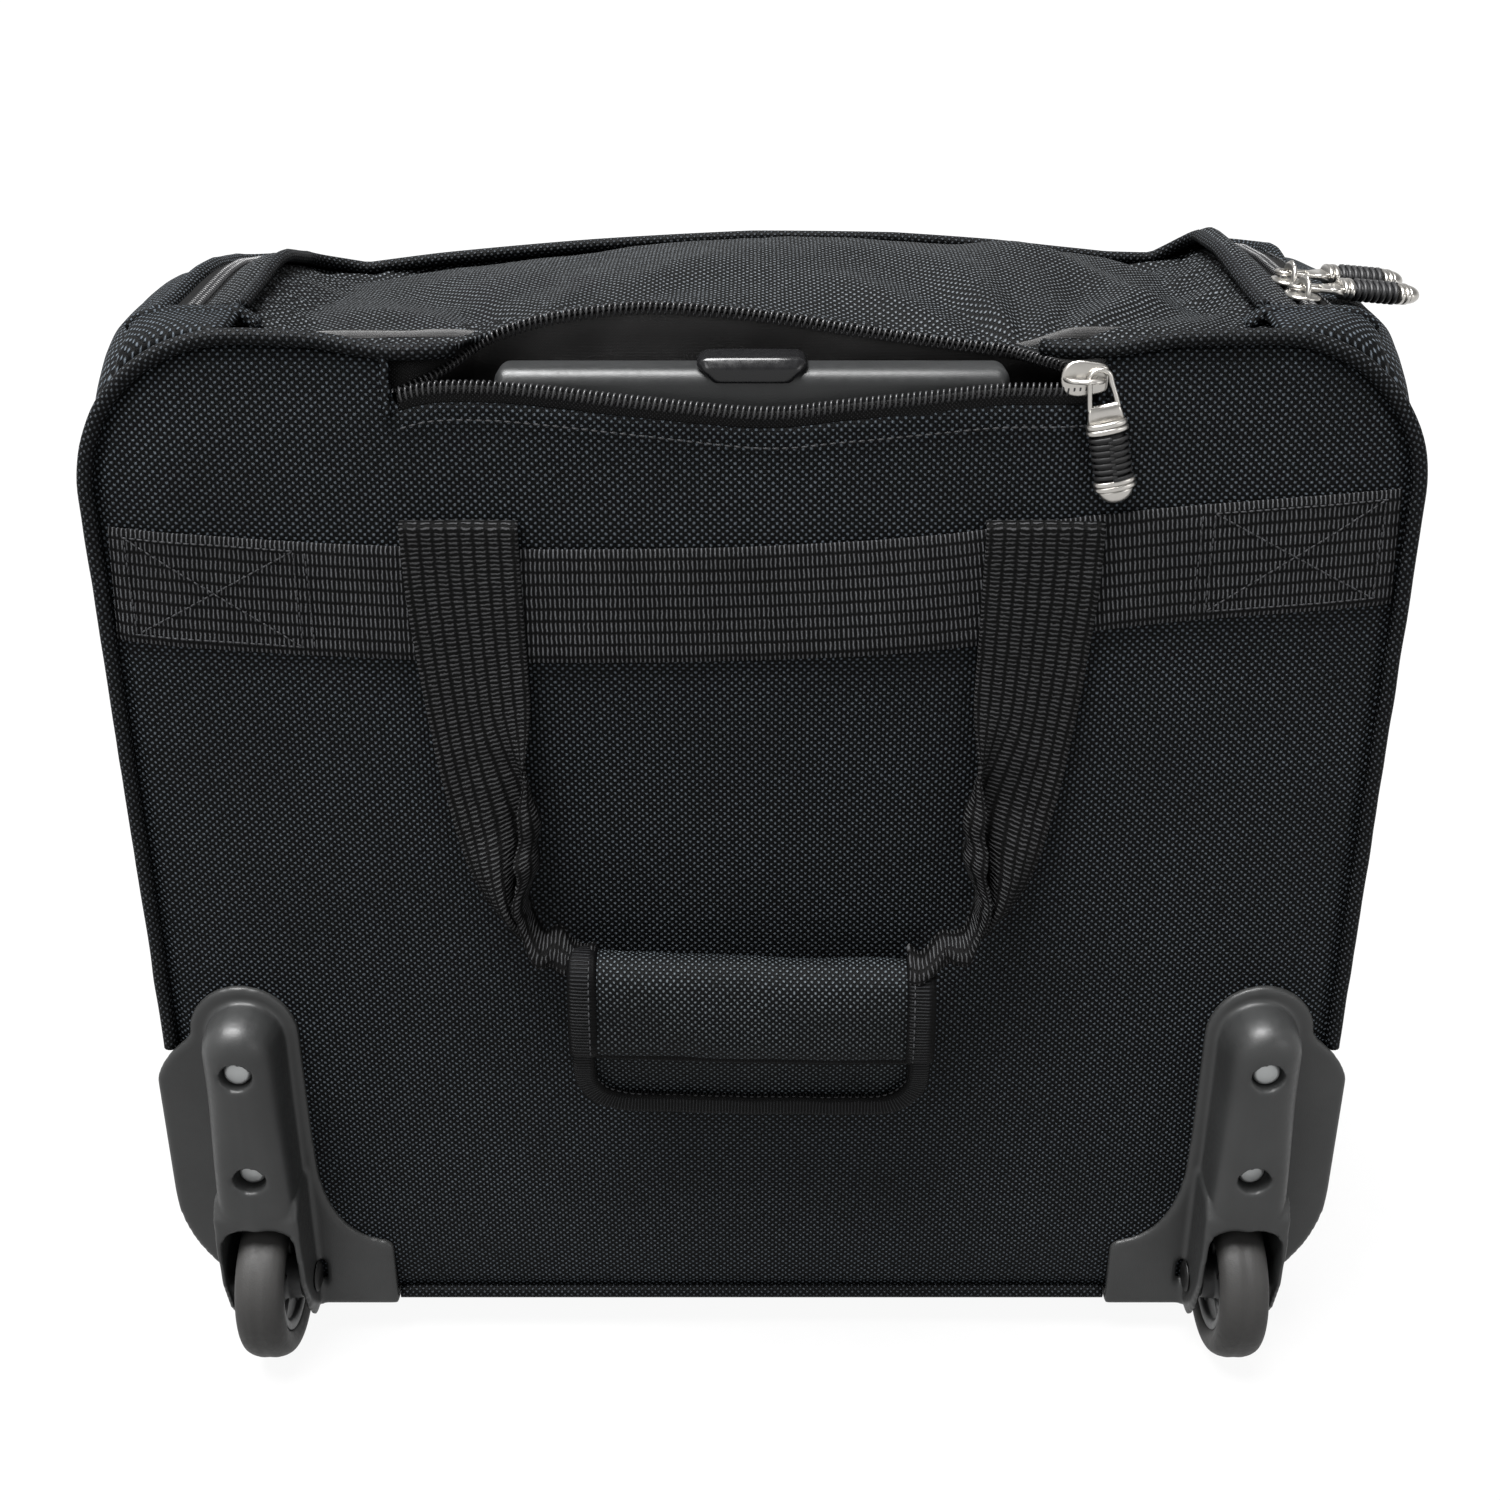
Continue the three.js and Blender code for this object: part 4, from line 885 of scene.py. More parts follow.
def draped(line_fn, near, far, columns, lift):
    """A strip over the top between two offsets of the main track, lying on the case's top."""
    rows = [line_fn(offset) for offset in np.linspace(near, far, columns)]
    count = 300
    P = np.stack([resample(r, count)[0] for r in rows], 1)
    P[..., 2] = roof_z(P[..., 0], P[..., 1]) + lift
    along = np.concatenate([[0], np.cumsum(np.linalg.norm(np.diff(P[:, 0], axis=0), axis=1))])
    UV = np.stack(np.meshgrid(along, np.linspace(near, far, columns), indexing="ij"), -1)
    return P, UV


def make_main_zip():
    P, UV = draped(lambda o: main_track(o), 0.25, 9.0, 6, 1.0)
    P[:, -1, 2] -= 0.4
    obj = thicken(grid_object("main_tape_body", P, UV, flip=True), 0.8, 0.0)
    finish_piece(obj, TAPE, "case", ["main_zip_tape_body"])
    P, UV = draped(lambda o: main_track(o), -6.0, -0.25, 5, 1.0)
    obj = thicken(grid_object("main_tape_lid", P, UV, flip=True), 0.8, 0.0)
    finish_piece(obj, TAPE, "lid", ["main_zip_tape_lid"])
    inner = main_track(-1.15, lift=1.9)
    outer = main_track(1.15, lift=1.9)
    finish_piece(coil_mesh("main_coil_lid", inner, (0, 0, 1), radius=1.1, per_turn=8, turns_shape=0.9), COIL, "lid")
    finish_piece(coil_mesh("main_coil_body", outer, (0, 0, 1), radius=1.1, per_turn=8, turns_shape=0.9), COIL, "case")
    for offset, body, name in ((7.6, "case", "body"), (-4.6, "lid", "lid")):
        line = main_track(offset, lift=1.9)
        finish_piece(stitch_mesh(f"main_stitches_{name}", line, (0, 0, 1)), THREAD, body)


# ------------------------------------------------------------------ lid
RIDGE = [(-180, 399.5), (-160, 401), (-145, 402.4), (-122, 406), (-90, 410), (-62, 413.4), (-30, 416.6), (0, 418.8), (30, 419.2),
         (55, 417.8), (94, 415.4), (110, 413.0), (125, 412.9), (138, 411.0), (160, 405), (180, 403)]


def flap_z(x, y):
    """Height of the soft top that hangs between the mouth's upper lip and the lid's front edge."""
    ridge = smooth_line(RIDGE, 200)
    high = np.interp(x, ridge[:, 0], ridge[:, 1])
    edge_y, edge_z = on_line(_flap_line, x)
    s = np.clip((y - edge_y) / (38 - edge_y), 0, 1)
    rear = edge_z + (high - edge_z) * np.sin(np.pi / 2 * s) ** 0.92
    front_z = roof_z(x, np.full_like(x, 74.0)) + 1.2
    t = ease(38, 80, y)
    level = rear + (front_z - rear) * t
    beside = 1 - ease(0, 26, 175 - np.abs(x))
    side_z = roof_z(x, y) + 0.8 - 1.5 * bell(y, -60, 12)
    return level + (side_z - level) * beside * ease(-60, -30, y)


def flap_folds(x, y):
    """Creases that fan out from both ends of the mouth."""
    total = 0.0
    for centre, seed, gain in (((-70, -60), 31, 1.0), ((92, -62), 37, 1.25)):
        dx, dy = x - centre[0], y - centre[1]
        r = np.hypot(dx, dy * 1.2)
        angle = np.arctan2(dy, dx)
        field = np.stack([angle * 62, r * 0.22, 0 * r], -1)
        fold = rumple(field, 26.0, seed, 1)
        total = total + gain * 5.6 * fold * ease(6, 30, r) * (1 - ease(70, 150, r))
    dent = bell(x - 0.25 * y, 150, 26) * bell(y, 0, 40)
    crest = bell(x + 0.75 * y, 128, 13) * bell(y, 4, 34)
    return total - 5.4 * dent + 4.6 * crest


def border_rise(P):
    """How far the lid's stiffened border stands above the case's top."""
    x, y = P[..., 0], P[..., 1]
    return 1.4 * ease(-30, 20, y) + 4.2 * bell(x, 178, 13) * ease(-10, 60, y)


def make_lid():
    count = 150
    rows = 66
    side = np.linspace(-1, 1, count)[None]
    t = np.linspace(0, 1, rows)[:, None]
    half = FLAP_HALF - 3.4 * ease(0.12, 0.2, t)
    X = side * half
    front = 73.5 - (30 - np.sqrt(np.clip(900 - np.clip(np.abs(X) - 145, 0, 30) ** 2, 0, None)))
    edge_y, _ = on_line(_flap_line, X)
    Y = edge_y + (front - edge_y) * t
    field = np.stack([X, Y, 0 * X], -1)
    edge = np.minimum(np.minimum(half - np.abs(X), front - Y), Y - edge_y)
    soft = ease(0, 20, edge)
    Z = flap_z(X, Y) + soft * (flap_folds(X, Y) + 0.9 * rumple(field, 40.0, 33) + 0.4 * rumple(field, 15.0, 34))
    P = np.stack([X, Y, Z], -1)
    obj = grid_object("top_flap_fabric", P, np.stack([X, Y], -1))
    drape(obj, pinned=edge < 2.5, grow=0.03, pressure=0.5, frames=20, cap=5.0)
    thicken(obj, 2.0)
    obj.data.materials.clear()
    obj.data.materials.append(LID_FABRIC)
    obj.data.polygons.foreach_set("use_smooth", [True] * len(obj.data.polygons))
    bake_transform(obj)
    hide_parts("lid_panel")
    for side in (-1, 1):
        along = np.linspace(0, 1, 34)[:, None]
        across = np.linspace(0, 1, 20)[None]
        X = side * (171 + 35 * along - 2 * across)
        Y = -72 + (24.5 + 3.0 * np.sin(np.pi * along)) * across + 0 * along
        proud = 2.3 * np.clip(1 - (2 * across - 1) ** 8, 0, 1) ** 0.5 * np.clip(1 - (2 * along - 1) ** 8, 0, 1) ** 0.5
        field = np.stack([X, Y, 0 * X], -1)
        P = np.stack([X, Y, roof_z(X, Y) - 0.5 + proud + 0.5 * rumple(field, 12.0, 91)], -1)
        x = np.linspace(164, 207, 40)
        y = np.full(40, -50.5) + 0.5 * np.sin(x * 0.2)
        tuck = 4.6 * (1 - ease(164, 171, x)) + 1.2 * ease(201, 207, x)
        line = np.column_stack([side * x, y, roof_z(x, y) + 1.4 - tuck])
        seam = sweep(f"zip_end_seam_{'right' if side > 0 else 'left'}", line, rounded_box_section(8.0, 4.0, 1.8, 4), (0, 0, 1))
        finish_piece(seam, BODY_FABRIC, "case")
        row = P[1:-1, -4] + (0, 0, 0.3)
        finish_piece(stitch_mesh(f"zip_end_stitches_{'right' if side > 0 else 'left'}", row, (0, 0, 1)), THREAD, "case")
        patch = grid_object(f"zip_end_{'right' if side > 0 else 'left'}", P, np.stack([X, Y], -1), flip=side < 0)
        thicken(patch, 1.2)
        finish_piece(patch, BODY_FABRIC, "case")
    roll = main_track(10.2, y_start=-52.0, lift=1.0)
    roll = roll + 0.35 * np.stack([rumple(roll, 25.0, 93), rumple(roll, 25.0, 94), rumple(roll, 25.0, 95)], -1)
    roll[:, 2] -= 4.0 * ease(178, 194, roll[:, 0]) * (1 - ease(22, 46, roll[:, 1]))
    cord = sweep("main_zip_roll", roll, round_section(3.4, 14), (0, 0, 1))
    finish_piece(cord, BODY_FABRIC, "case")
    line = main_track(-16.5, y_start=-49.0, lift=2.6)
    line[:, 2] += border_rise(line)
    cord = sweep("lid_piping_cord", line, round_section(2.3, 12), (0, 0, 1))
    finish_piece(cord, PIPING_FABRIC, "lid", ["lid_piping"])
    P, UV = draped(lambda o: main_track(o, y_start=-49.0), -16.9, -4.2, 8, 1.9)
    P[:, :, 2] += np.array([-1.2, 0.2, 0.9, 1.1, 1.0, 0.7, 0.3, -0.5]) + border_rise(P) * np.array([1, 1, 1, 0.9, 0.75, 0.5, 0.25, 0])
    band = thicken(grid_object("lid_border", P, UV, flip=True), 1.4, 0.0)
    finish_piece(band, LID_FABRIC, "lid")


def drape(obj, pinned, grow, pressure, frames, cap):
    """Lets the cloth settle with a little spare length, held at its pinned points, and keeps the result."""
    before = np.array([v.co for v in obj.data.vertices])
    group = obj.vertex_groups.new(name="held")
    group.add([int(i) for i in np.flatnonzero(np.asarray(pinned).ravel())], 1.0, "REPLACE")
    cloth = obj.modifiers.new("cloth", "CLOTH")
    s = cloth.settings
    s.quality = 6
    s.mass = 0.25
    s.tension_stiffness = s.compression_stiffness = 25
    s.shear_stiffness = 12
    s.bending_stiffness = 0.35
    s.air_damping = 2.0
    s.vertex_group_mass = "held"
    s.shrink_min = -grow
    s.use_pressure = True
    s.uniform_pressure_force = pressure
    s.effector_weights.gravity = 0.35
    cloth.collision_settings.use_collision = False
    cloth.point_cache.frame_start, cloth.point_cache.frame_end = 1, frames
    for f in range(1, frames + 1):
        scene.frame_set(f)
    apply_modifiers(obj)
    scene.frame_set(1)
    after = np.array([v.co for v in obj.data.vertices])
    moved = after - before
    far = np.linalg.norm(moved, axis=1, keepdims=True)
    moved *= np.minimum(1.0, cap * MM / np.maximum(far, 1e-9))
    obj.data.vertices.foreach_set("co", (before + moved).astype(np.float32).ravel())
    obj.data.update()
    return obj


# ------------------------------------------------------------------ webbing band
BAND_POINTS = [(-214.5, 318.6), (-160, 314.6), (-113, 312.6), (-60, 311.6), (0, 312.6), (60, 316.5), (121, 324), (170, 328.4), (214.5, 331.6)]


def band_z(x):
    line = smooth_line(BAND_POINTS, 200)
    return np.interp(x, line[:, 0], line[:, 1])


def band_surface(x, z):
    return back_y(x, z) - 2.2


def make_back_band():
    line = smooth_line(BAND_POINTS, 170)
    tangent = np.gradient(line, axis=0)
    tangent /= np.linalg.norm(tangent, axis=1, keepdims=True)
    across = np.stack([-tangent[:, 1], tangent[:, 0]], 1)
    t = np.concatenate([[-20.0, -19.4], np.linspace(-18.5, 18.5, 17), [19.4, 20.0]])
    XZ = line[:, None] + across[:, None] * t[None, :, None]
    X, Z = XZ[..., 0], XZ[..., 1]
    between = ease(-150, -110, X) * (1 - ease(110, 150, X))
    loose = between * (0.7 + 0.8 * rumple(np.stack([X, Z, 0 * X], -1), 45.0, 41))
    Y = back_y(X, Z) - 1.2 - 0.5 * ease(20.0, 18.0, np.abs(t))[None] - loose
    P = np.stack([X, Y, Z], -1)
    along = np.concatenate([[0], np.cumsum(np.linalg.norm(np.diff(line, axis=0), axis=1))])
    UV = np.stack(np.meshgrid(along, t + 0.7, indexing="ij"), -1)
    obj = grid_object("back_band_webbing", P, UV, flip=True)
    thicken(obj, 1.7)
    finish_piece(obj, WEBBING, "case", ["back_band"])
    rows = []
    for side in (-1, 1):
        for x0, x1 in ((148, 152), (208, 208)):
            for x in {x0, x1}:
                rows.append([(side * x, band_z(side * x) - 17), (side * x, band_z(side * x) + 17)])
        for dz in (-17, 17):
            rows.append([(side * 152, band_z(side * 152) + dz), (side * 208, band_z(side * 208) + dz)])
        rows.append([(side * 152, band_z(side * 152) - 17), (side * 208, band_z(side * 208) + 17)])
        rows.append([(side * 152, band_z(side * 152) + 17), (side * 208, band_z(side * 208) - 17)])
    made = []
    for i, (a, b) in enumerate(rows):
        flat, _ = resample([a, b], step=2.0)
        path = np.column_stack([flat[:, 0], back_y(flat[:, 0], flat[:, 1]) - 1.95, flat[:, 1]])
        made.append(stitch_mesh(f"band_stitch_{i}", path, (0, -1, 0), 2.6, 2.0, 0.3))
    finish_piece(join("band_stitches", made), THREAD, "case")


# ------------------------------------------------------------------ carry handle
def strap_section(c, width, where):
    """Across a strap: distance from its inner edge and how proud it stands, for points from inner to outer edge."""
    folded = ease(0.34, 0.68, where)
    at = [-1, -0.74, -0.52, -0.38, -0.2, 0.3, 1]
    close = 1 - 0.3 * ease(0.85, 1, where)
    full = bell(where, 0.76, 0.13)
    a = smooth_line(list(zip(at, [(10.0 - 3.2 * full) * close, 3.8, 0.2, 0.4, 4.2 + 2.2 * full, 0.58 * width + 1.5 * full, width])), 60)
    h = smooth_line(list(zip(at, [14.0, 12.6, 7.0, 1.4, -0.4, 1.6 + 10.5 * full, 3.4 + 1.5 * full])), 60)
    hooked = np.interp(c, a[:, 0], a[:, 1])
    lifted = np.interp(c, h[:, 0], h[:, 1])
    flat = (c + 1) / 2 * width
    curl = 0.6 * np.abs(c) ** 3 * (1 - folded)
    return flat + (hooked - flat) * folded, lifted * folded + curl


def make_rear_strap(side, name):
    """One leg of the carry handle: flat where it folds over the band, cupped lengthwise where it enters the wrap."""
    count = 120
    outer = smooth_line([(116, 338), (115, 312), (111, 272), (106, 240), (98, 212), (88, 196), (76, 184), (66, 177), (56, 173)], count)
    inner = smooth_line([(77, 338), (76.5, 310), (75.5, 270), (74, 245), (74.5, 226), (79.5, 206), (78, 197), (68, 189), (56, 186)], count)
    wide = np.linalg.norm(outer - inner, axis=1)
    stand = np.interp(np.linspace(0, 1, count), [0, 0.4, 0.7, 0.88, 1], [0, 0.4, 1.0, 2.6, 6.0])
    c = np.linspace(-1, 1, 27)
    lengths = np.outer(np.linspace(0, 175, count), np.ones(len(c)))
    field = np.stack([lengths, np.outer(np.ones(count), c * 19), 0 * lengths], -1)
    ripple = rumple(field, 17.0, 51 + side)
    crease = rumple(field, 7.5, 57 + side)
    P = np.zeros((count, len(c), 3))
    for i in range(count):
        across, proud = strap_section(c, wide[i], i / count)
        crimp = ease(0.45, 0.7, i / count) * (1 - ease(-0.5, 0.1, c)) + 0.8 * ease(0.78, 0.9, i / count)
        across = across + crimp * (0.9 * math.sin(i * 0.5) + 1.3 * crease[i])
        proud = proud + ripple[i] * (0.35 + 0.9 * ease(0.3, 0.6, i / count)) + crimp * (0.8 * math.sin(i * 0.55 + 1) + 1.2 * crease[i])
        toward = (outer[i] - inner[i]) / wide[i]
        xz = inner[i][None] + across[:, None] * toward[None]
        P[i] = np.stack([side * xz[:, 0], BACK - 5.4 - stand[i] - np.clip(proud, -0.5, None), xz[:, 1]], 1)
    # the fold over the band's top edge
    fold = []
    for angle in np.radians(np.linspace(200, 12, 12)):
        ring = P[0].copy()
        ring[:, 1] = P[0, :, 1] + 2.5 * (1 - math.cos(angle))
        ring[:, 2] = 338.2 + 2.5 * math.sin(angle)
        fold.append(ring)
    P = np.concatenate([np.array(fold), P])
    along = np.concatenate([[0], np.cumsum(np.linalg.norm(np.diff(P[:, 13], axis=0), axis=1))])
    UV = np.stack(np.meshgrid(along, c * 19 + 0.3, indexing="ij"), -1)
    obj = grid_object(f"rear_strap_{name}_webbing", P, UV, flip=side < 0)
    thicken(obj, 1.6, 0.0)
    finish_piece(obj, STRAP_WEBBING, "rear_handle", [f"rear_strap_{name}"])
    return obj


WRAP_HALF = 64.5


def wrap_place(P):
    """The wrap hangs a little lower on the right and sags in the middle."""
    P = P.copy()
    P[..., 2] -= (0.022 + 0.014 * ease(140, 180, P[..., 2])) * P[..., 0] + 1.2 * bell(P[..., 0], 0, 55)
    return P


def make_wrap():
    roll = smooth_line([(-90.5, 151), (-87.4, 157), (-86.4, 165), (-88.2, 175), (-93.5, 182.4), (-100, 183.2), (-105.4, 178.8), (-107.8, 171),
                        (-108.6, 162), (-108.6, 154.6), (-107.6, 150.2), (-105.6, 149.0), (-103.4, 150.4)], 84)
    x = np.linspace(-WRAP_HALF, WRAP_HALF, 100)
    P = np.zeros((len(x), len(roll), 3))
    for i, v in enumerate(x):
        P[i, :, 0] = v
        P[i, :, 1:] = roll
    P[..., 1] -= (rumple(P, 26.0, 61) * 0.9 + rumple(P, 10.0, 62) * 0.35) * ease(-88, -95, P[..., 1])
    P = wrap_place(P)
    along = np.concatenate([[0], np.cumsum(np.linalg.norm(np.diff(roll, axis=0), axis=1))])
    UV = np.stack(np.meshgrid(x, along, indexing="ij"), -1)
    obj = thicken(grid_object("grip_wrap_fabric", P, UV), 1.8, 0.0)
    finish_piece(obj, WRAP_FABRIC, "rear_handle", ["grip_wrap"])

    # the flap below the fold, with rounded corners
    half, low, r = 61.0, 122.5, 15.0
    x = np.concatenate([-half + r - r * np.sin(np.radians(np.linspace(90, 6, 10))), np.linspace(-half + r, half - r, 60), half - r + r * np.sin(np.radians(np.linspace(6, 90, 10)))])
    floor = low + r - np.sqrt(np.clip(r**2 - np.clip(np.abs(x) - (half - r), 0, r) ** 2, 0, None))
    v = np.linspace(0, 1, 22)[:, None]
    X = np.broadcast_to(x, (22, len(x)))
    Z = floor + (166 - floor) * v
    field = np.stack([X, Z, 0 * X], -1)
    Y = -96.0 - 4.4 * ease(122, 148, Z) - 0.9 * rumple(field, 22.0, 65) - 1.6 * (1 - ease(-half + 1, -half + 14, X))
    obj = thicken(grid_object("wrap_flap_fabric", wrap_place(np.stack([X, Y, Z], -1)), np.stack([X, Z + 3], -1)), 1.8)
    finish_piece(obj, WRAP_FABRIC, "rear_handle")
    hem = [(-half, 152)] + [(-half + r - r * math.cos(a), low + r - r * math.sin(a)) for a in np.radians(np.linspace(0, 90, 9))]
    hem = np.array(hem + [(-q[0], q[1]) for q in hem[::-1]])
    hem = resample(hem, step=2.2)[0]
    y = -97.4 - 5.4 * ease(122, 148, hem[:, 1]) - 1.6 * (1 - ease(-half + 1, -half + 14, hem[:, 0]))
    line = wrap_place(np.column_stack([hem[:, 0], y, hem[:, 1]]))
    line = line + 0.3 * np.stack([0 * y, rumple(line, 8.0, 67), rumple(line, 8.0, 68)], -1)
    hem_tape = sweep("wrap_hem", line, rounded_box_section(8.2, 4.4, 1.9, 3), (0, -1, 0))
    finish_piece(hem_tape, BINDING, "rear_handle")
    inner = line + (line - wrap_place(np.array([[0, -97, 160.0]]))) * np.array([-0.055, 0, -0.1]) + (0, -1.0, 0)
    finish_piece(stitch_mesh("wrap_hem_stitches", inner[4:-4], (0, -1, 0), 2.6, 1.8, 0.3), THREAD, "rear_handle")

    pad = smooth_line([(-91, 153), (-88.2, 164), (-90, 173), (-95, 180), (-101, 179), (-105, 173), (-106.2, 165), (-104.5, 157), (-98, 152), (-91, 153)], 40)[:-1]
    middle = wrap_place(np.column_stack([np.linspace(-63, 63, 30), np.zeros(30), np.zeros(30)]))
    core = sweep("grip_core", middle, np.stack([-pad[:, 0], pad[:, 1]], 1), (0, 0, 1))
    finish_piece(core, STRAP_WEBBING, "rear_handle")

    # painted shadow: a near-black strip along the roll's lower edge stands in for the dark slit under the fold
    x = np.linspace(-59, 59, 40)
    line = wrap_place(np.column_stack([x, np.full(40, -103.6), np.full(40, 146.6)]))
    seam = sweep("wrap_fold_painted_shadow", line, rounded_box_section(3.4, 2.6, 1.0, 3), (0, -1, 0))
    finish_piece(seam, FOLD_SHADOW_STRIP, "rear_handle")

    # bindings round both ends of the roll
    outward = np.stack([np.gradient(roll[:, 1]), -np.gradient(roll[:, 0])], 1)
    outward /= np.linalg.norm(outward, axis=1, keepdims=True)
    if outward[np.argmin(roll[:, 0])][0] > 0:
        outward = -outward
    for side, name in ((-1, "left"), (1, "right")):
        strip = []
        for t in np.linspace(-5.0, 5.0, 9):
            ring = np.column_stack([np.full(len(roll), side * (WRAP_HALF - 4.2) + t), roll + outward * (1.5 - 0.8 * abs(t / 5.0) ** 4)])
            strip.append(ring)
        P = wrap_place(np.array(strip))
        P[..., 1] -= 0.35 * rumple(P, 9.0, 71 + side)
        UV = np.stack(np.meshgrid(np.linspace(0, 10, 9), along, indexing="ij"), -1)[..., ::-1]
        finish_piece(thicken(grid_object(f"wrap_binding_{name}", P, UV), 1.1, 0.0), BINDING, "rear_handle")
        row = P[2 if side > 0 else -3][22:80] + (0, -0.7, 0)
        finish_piece(stitch_mesh(f"wrap_stitch_{name}", row, (0, -1, 0), 2.8, 2.0, 0.32), THREAD, "rear_handle")


# ------------------------------------------------------------------ telescoping handle
def make_telescoping_handle():
    body = nodes["handle_grip"]
    x = np.concatenate([-84 + 4.5 * (1 - np.cos(np.radians(np.linspace(0, 90, 8)))), [-60, 0, 60], 84 - 4.5 * (1 - np.cos(np.radians(np.linspace(90, 0, 8))))])
    path = np.column_stack([x, np.full_like(x, -65.0), np.full_like(x, 376.5)])
    rings = []
    for v in x:
        shrink = 4.5 * (1 - math.sqrt(max(0.0, 1 - (max(0.0, abs(v) - 79.5) / 4.5) ** 2)))
        rings.append(rounded_box_section(20.0 - 2 * shrink, 25.0 - 2 * shrink, 5.0 - 0.5 * shrink, 7))
    obj = sweep("grip_moulding", path, np.array(rings), (0, 0, 1))
    finish_piece(obj, GRIP_PLASTIC, "handle_upper", ["handle_grip"])
    profile = rounded_profile([(-17.2, 385), (-17.6, 386.0), (-17.6, 389.6), (-15.4, 392.9), (-1.4, 393.0), (0.0, 391.6), (0.0, 385), (-8, 384.6), (-17.2, 385)], 0.9, 4)[:-1]
    rings, places = [], []
    for v, drop in ((-19.0, 3.6), (-18.4, 2.4), (-16.6, 0.8), (-14.6, 0.1), (-8, 0), (8, 0), (14.6, 0.1), (16.6, 0.8), (18.4, 2.4), (19.0, 3.6)):
        ring = profile.copy()
        tall = ease(386, 393, ring[:, 1])
        ring[:, 1] -= drop * tall
        ring[:, 0] += 0.35 * drop * ease(-10, -17, ring[:, 0])
        narrow = v * (0.7 + 0.3 * ease(385.2, 391.6, ring[:, 1]))
        rings.append(np.column_stack([narrow, -58.2 + ring[:, 0], ring[:, 1]]))
    P = np.array(rings)
    P = np.concatenate([np.broadcast_to(P[0].mean(0), (1, *P.shape[1:])), P, np.broadcast_to(P[-1].mean(0), (1, *P.shape[1:]))])
    obj = weld(grid_object("button_moulding", P, np.zeros((len(P), P.shape[1] + 1, 2)), wrap=(False, True)))
    finish_piece(obj, BUTTON_PLASTIC, "handle_button", ["handle_button"])
    for name in ("handle_collar", "handle_bracket"):
        set_material(name, MOULDED)
    for stage in ("outer", "mid", "inner"):
        for side in ("left", "right"):
            set_material(f"tube_{stage}_{side}", ALUMINIUM)
    set_material("release_frame", STEEL)
    turn = np.linspace(0, 6 * np.pi, 140)
    line = np.column_stack([3.2 * np.cos(turn), -65 + 3.2 * np.sin(turn), 366.9 + 6.4 * turn / turn[-1]])
    spring = sweep("button_spring_wire", line, round_section(0.6, 10), (0, 0, 1))
    finish_piece(spring, STEEL, "handle_upper", ["button_spring"])
    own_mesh(spring)


def set_material(node, material, smooth_angle=None):
    mesh = nodes[node].data
    mesh.materials.clear()
    mesh.materials.append(material)


# ------------------------------------------------------------------ wheels
def make_wheels():
    tyre_profile = rounded_profile([(20.8, -7.6), (24.6, -9.4), (27.0, -9.2), (29.0, -7.9), (30.3, -5.6), (30.95, -2.6), (30.8, -0.4), (30.8, 0.4), (30.95, 2.6),
                                    (30.3, 5.6), (29.0, 7.9), (27.0, 9.2), (24.6, 9.4), (20.8, 7.6), (20.8, -7.6)], 1.3, 5)
    hub_profile = rounded_profile([(4.4, -11.8), (8.2, -11.8), (8.8, -6.4), (10.2, -5.2), (16.4, -5.2), (17.2, -7.0), (18.4, -7.8), (20.7, -7.8), (20.7, 7.8), (18.4, 7.8),
                                   (17.2, 7.0), (16.4, 5.2), (10.2, 5.2), (8.8, 6.4), (8.2, 11.8), (4.4, 11.8), (4.4, -11.8)], 0.7, 4)
    for name, x in (("left", -189), ("right", 189)):
        tyre = lathe(f"tyre_{name}", tyre_profile, "x", 96)
        shift(tyre, x, -86, 31)
        finish_piece(tyre, TYRE, f"wheel_{name}", [f"wheel_tyre_{name}"])
        hub = lathe(f"hub_{name}", hub_profile, "x", 72)
        ribs = []
        for k in range(5):
            spoke = sweep(f"spoke_{name}_{k}", [(0, 8.4, 0), (0, 12.5, 0), (0, 17.2, 0)], rounded_box_section(12.6, 2.4, 0.7, 3), (0, 0, 1))
            ribs.append(move(spoke, Matrix.Rotation(2 * math.pi * k / 5, 4, "X")))
        hub = join(f"hub_{name}", [hub, *ribs])
        shift(hub, x, -86, 31)
        finish_piece(hub, HUB_PLASTIC, f"wheel_{name}", [f"wheel_hub_{name}"])
        axle = lathe(f"axle_{name}", rounded_profile([(0, -17.6), (4.6, -17.6), (6.1, -17.0), (6.1, -16.5), (4.0, -16.5), (4.0, 16.5), (6.1, 16.5), (6.1, 17.0), (4.6, 17.6), (0, 17.6)], 0.4), "x", 40)
        shift(axle, x, -86, 31)
        finish_piece(axle, DARK_STEEL, "case", [f"wheel_axle_{name}"])


def fill_rib(obj, centre):
    """Squares up the rib's round section, more so towards the fork it runs into."""
    P = np.array([v.co for v in obj.data.vertices]) / MM
    dx, dy, z = P[:, 0] - centre, P[:, 1] + 83.6, P[:, 2]
    high = np.clip(z - 142, 0, None)
    across = np.hypot(dx, high)
    u, v = across / 14.5, np.clip(-dy, 0, None) / 20
    r = np.maximum(np.hypot(u, v), 1e-6)
    power = 3.0 + 2.6 * (1 - ease(66, 130, z))
    wide = 1 + 0.035 * (1 - ease(70, 125, z))
    target = ((u / r / wide) ** power + (v / r) ** power) ** (-1 / power)
    gain = np.maximum(1.0, target / np.maximum(r, 1.0))
    gain = 1 + (gain - 1) * ease(0, 3, -dy) * ease(67, 74, z) * (1 - ease(17, 19.5, across))
    P[:, 0] = centre + dx * gain
    P[:, 1] = dy * gain - 83.6
    P[:, 2] = z + high * (gain - 1)
    obj.data.vertices.foreach_set("co", (P * MM).astype(np.float32).ravel())
    soft = obj.modifiers.new("soft", "SMOOTH")
    soft.iterations = 4
    soft.factor = 0.5
    return apply_modifiers(obj)


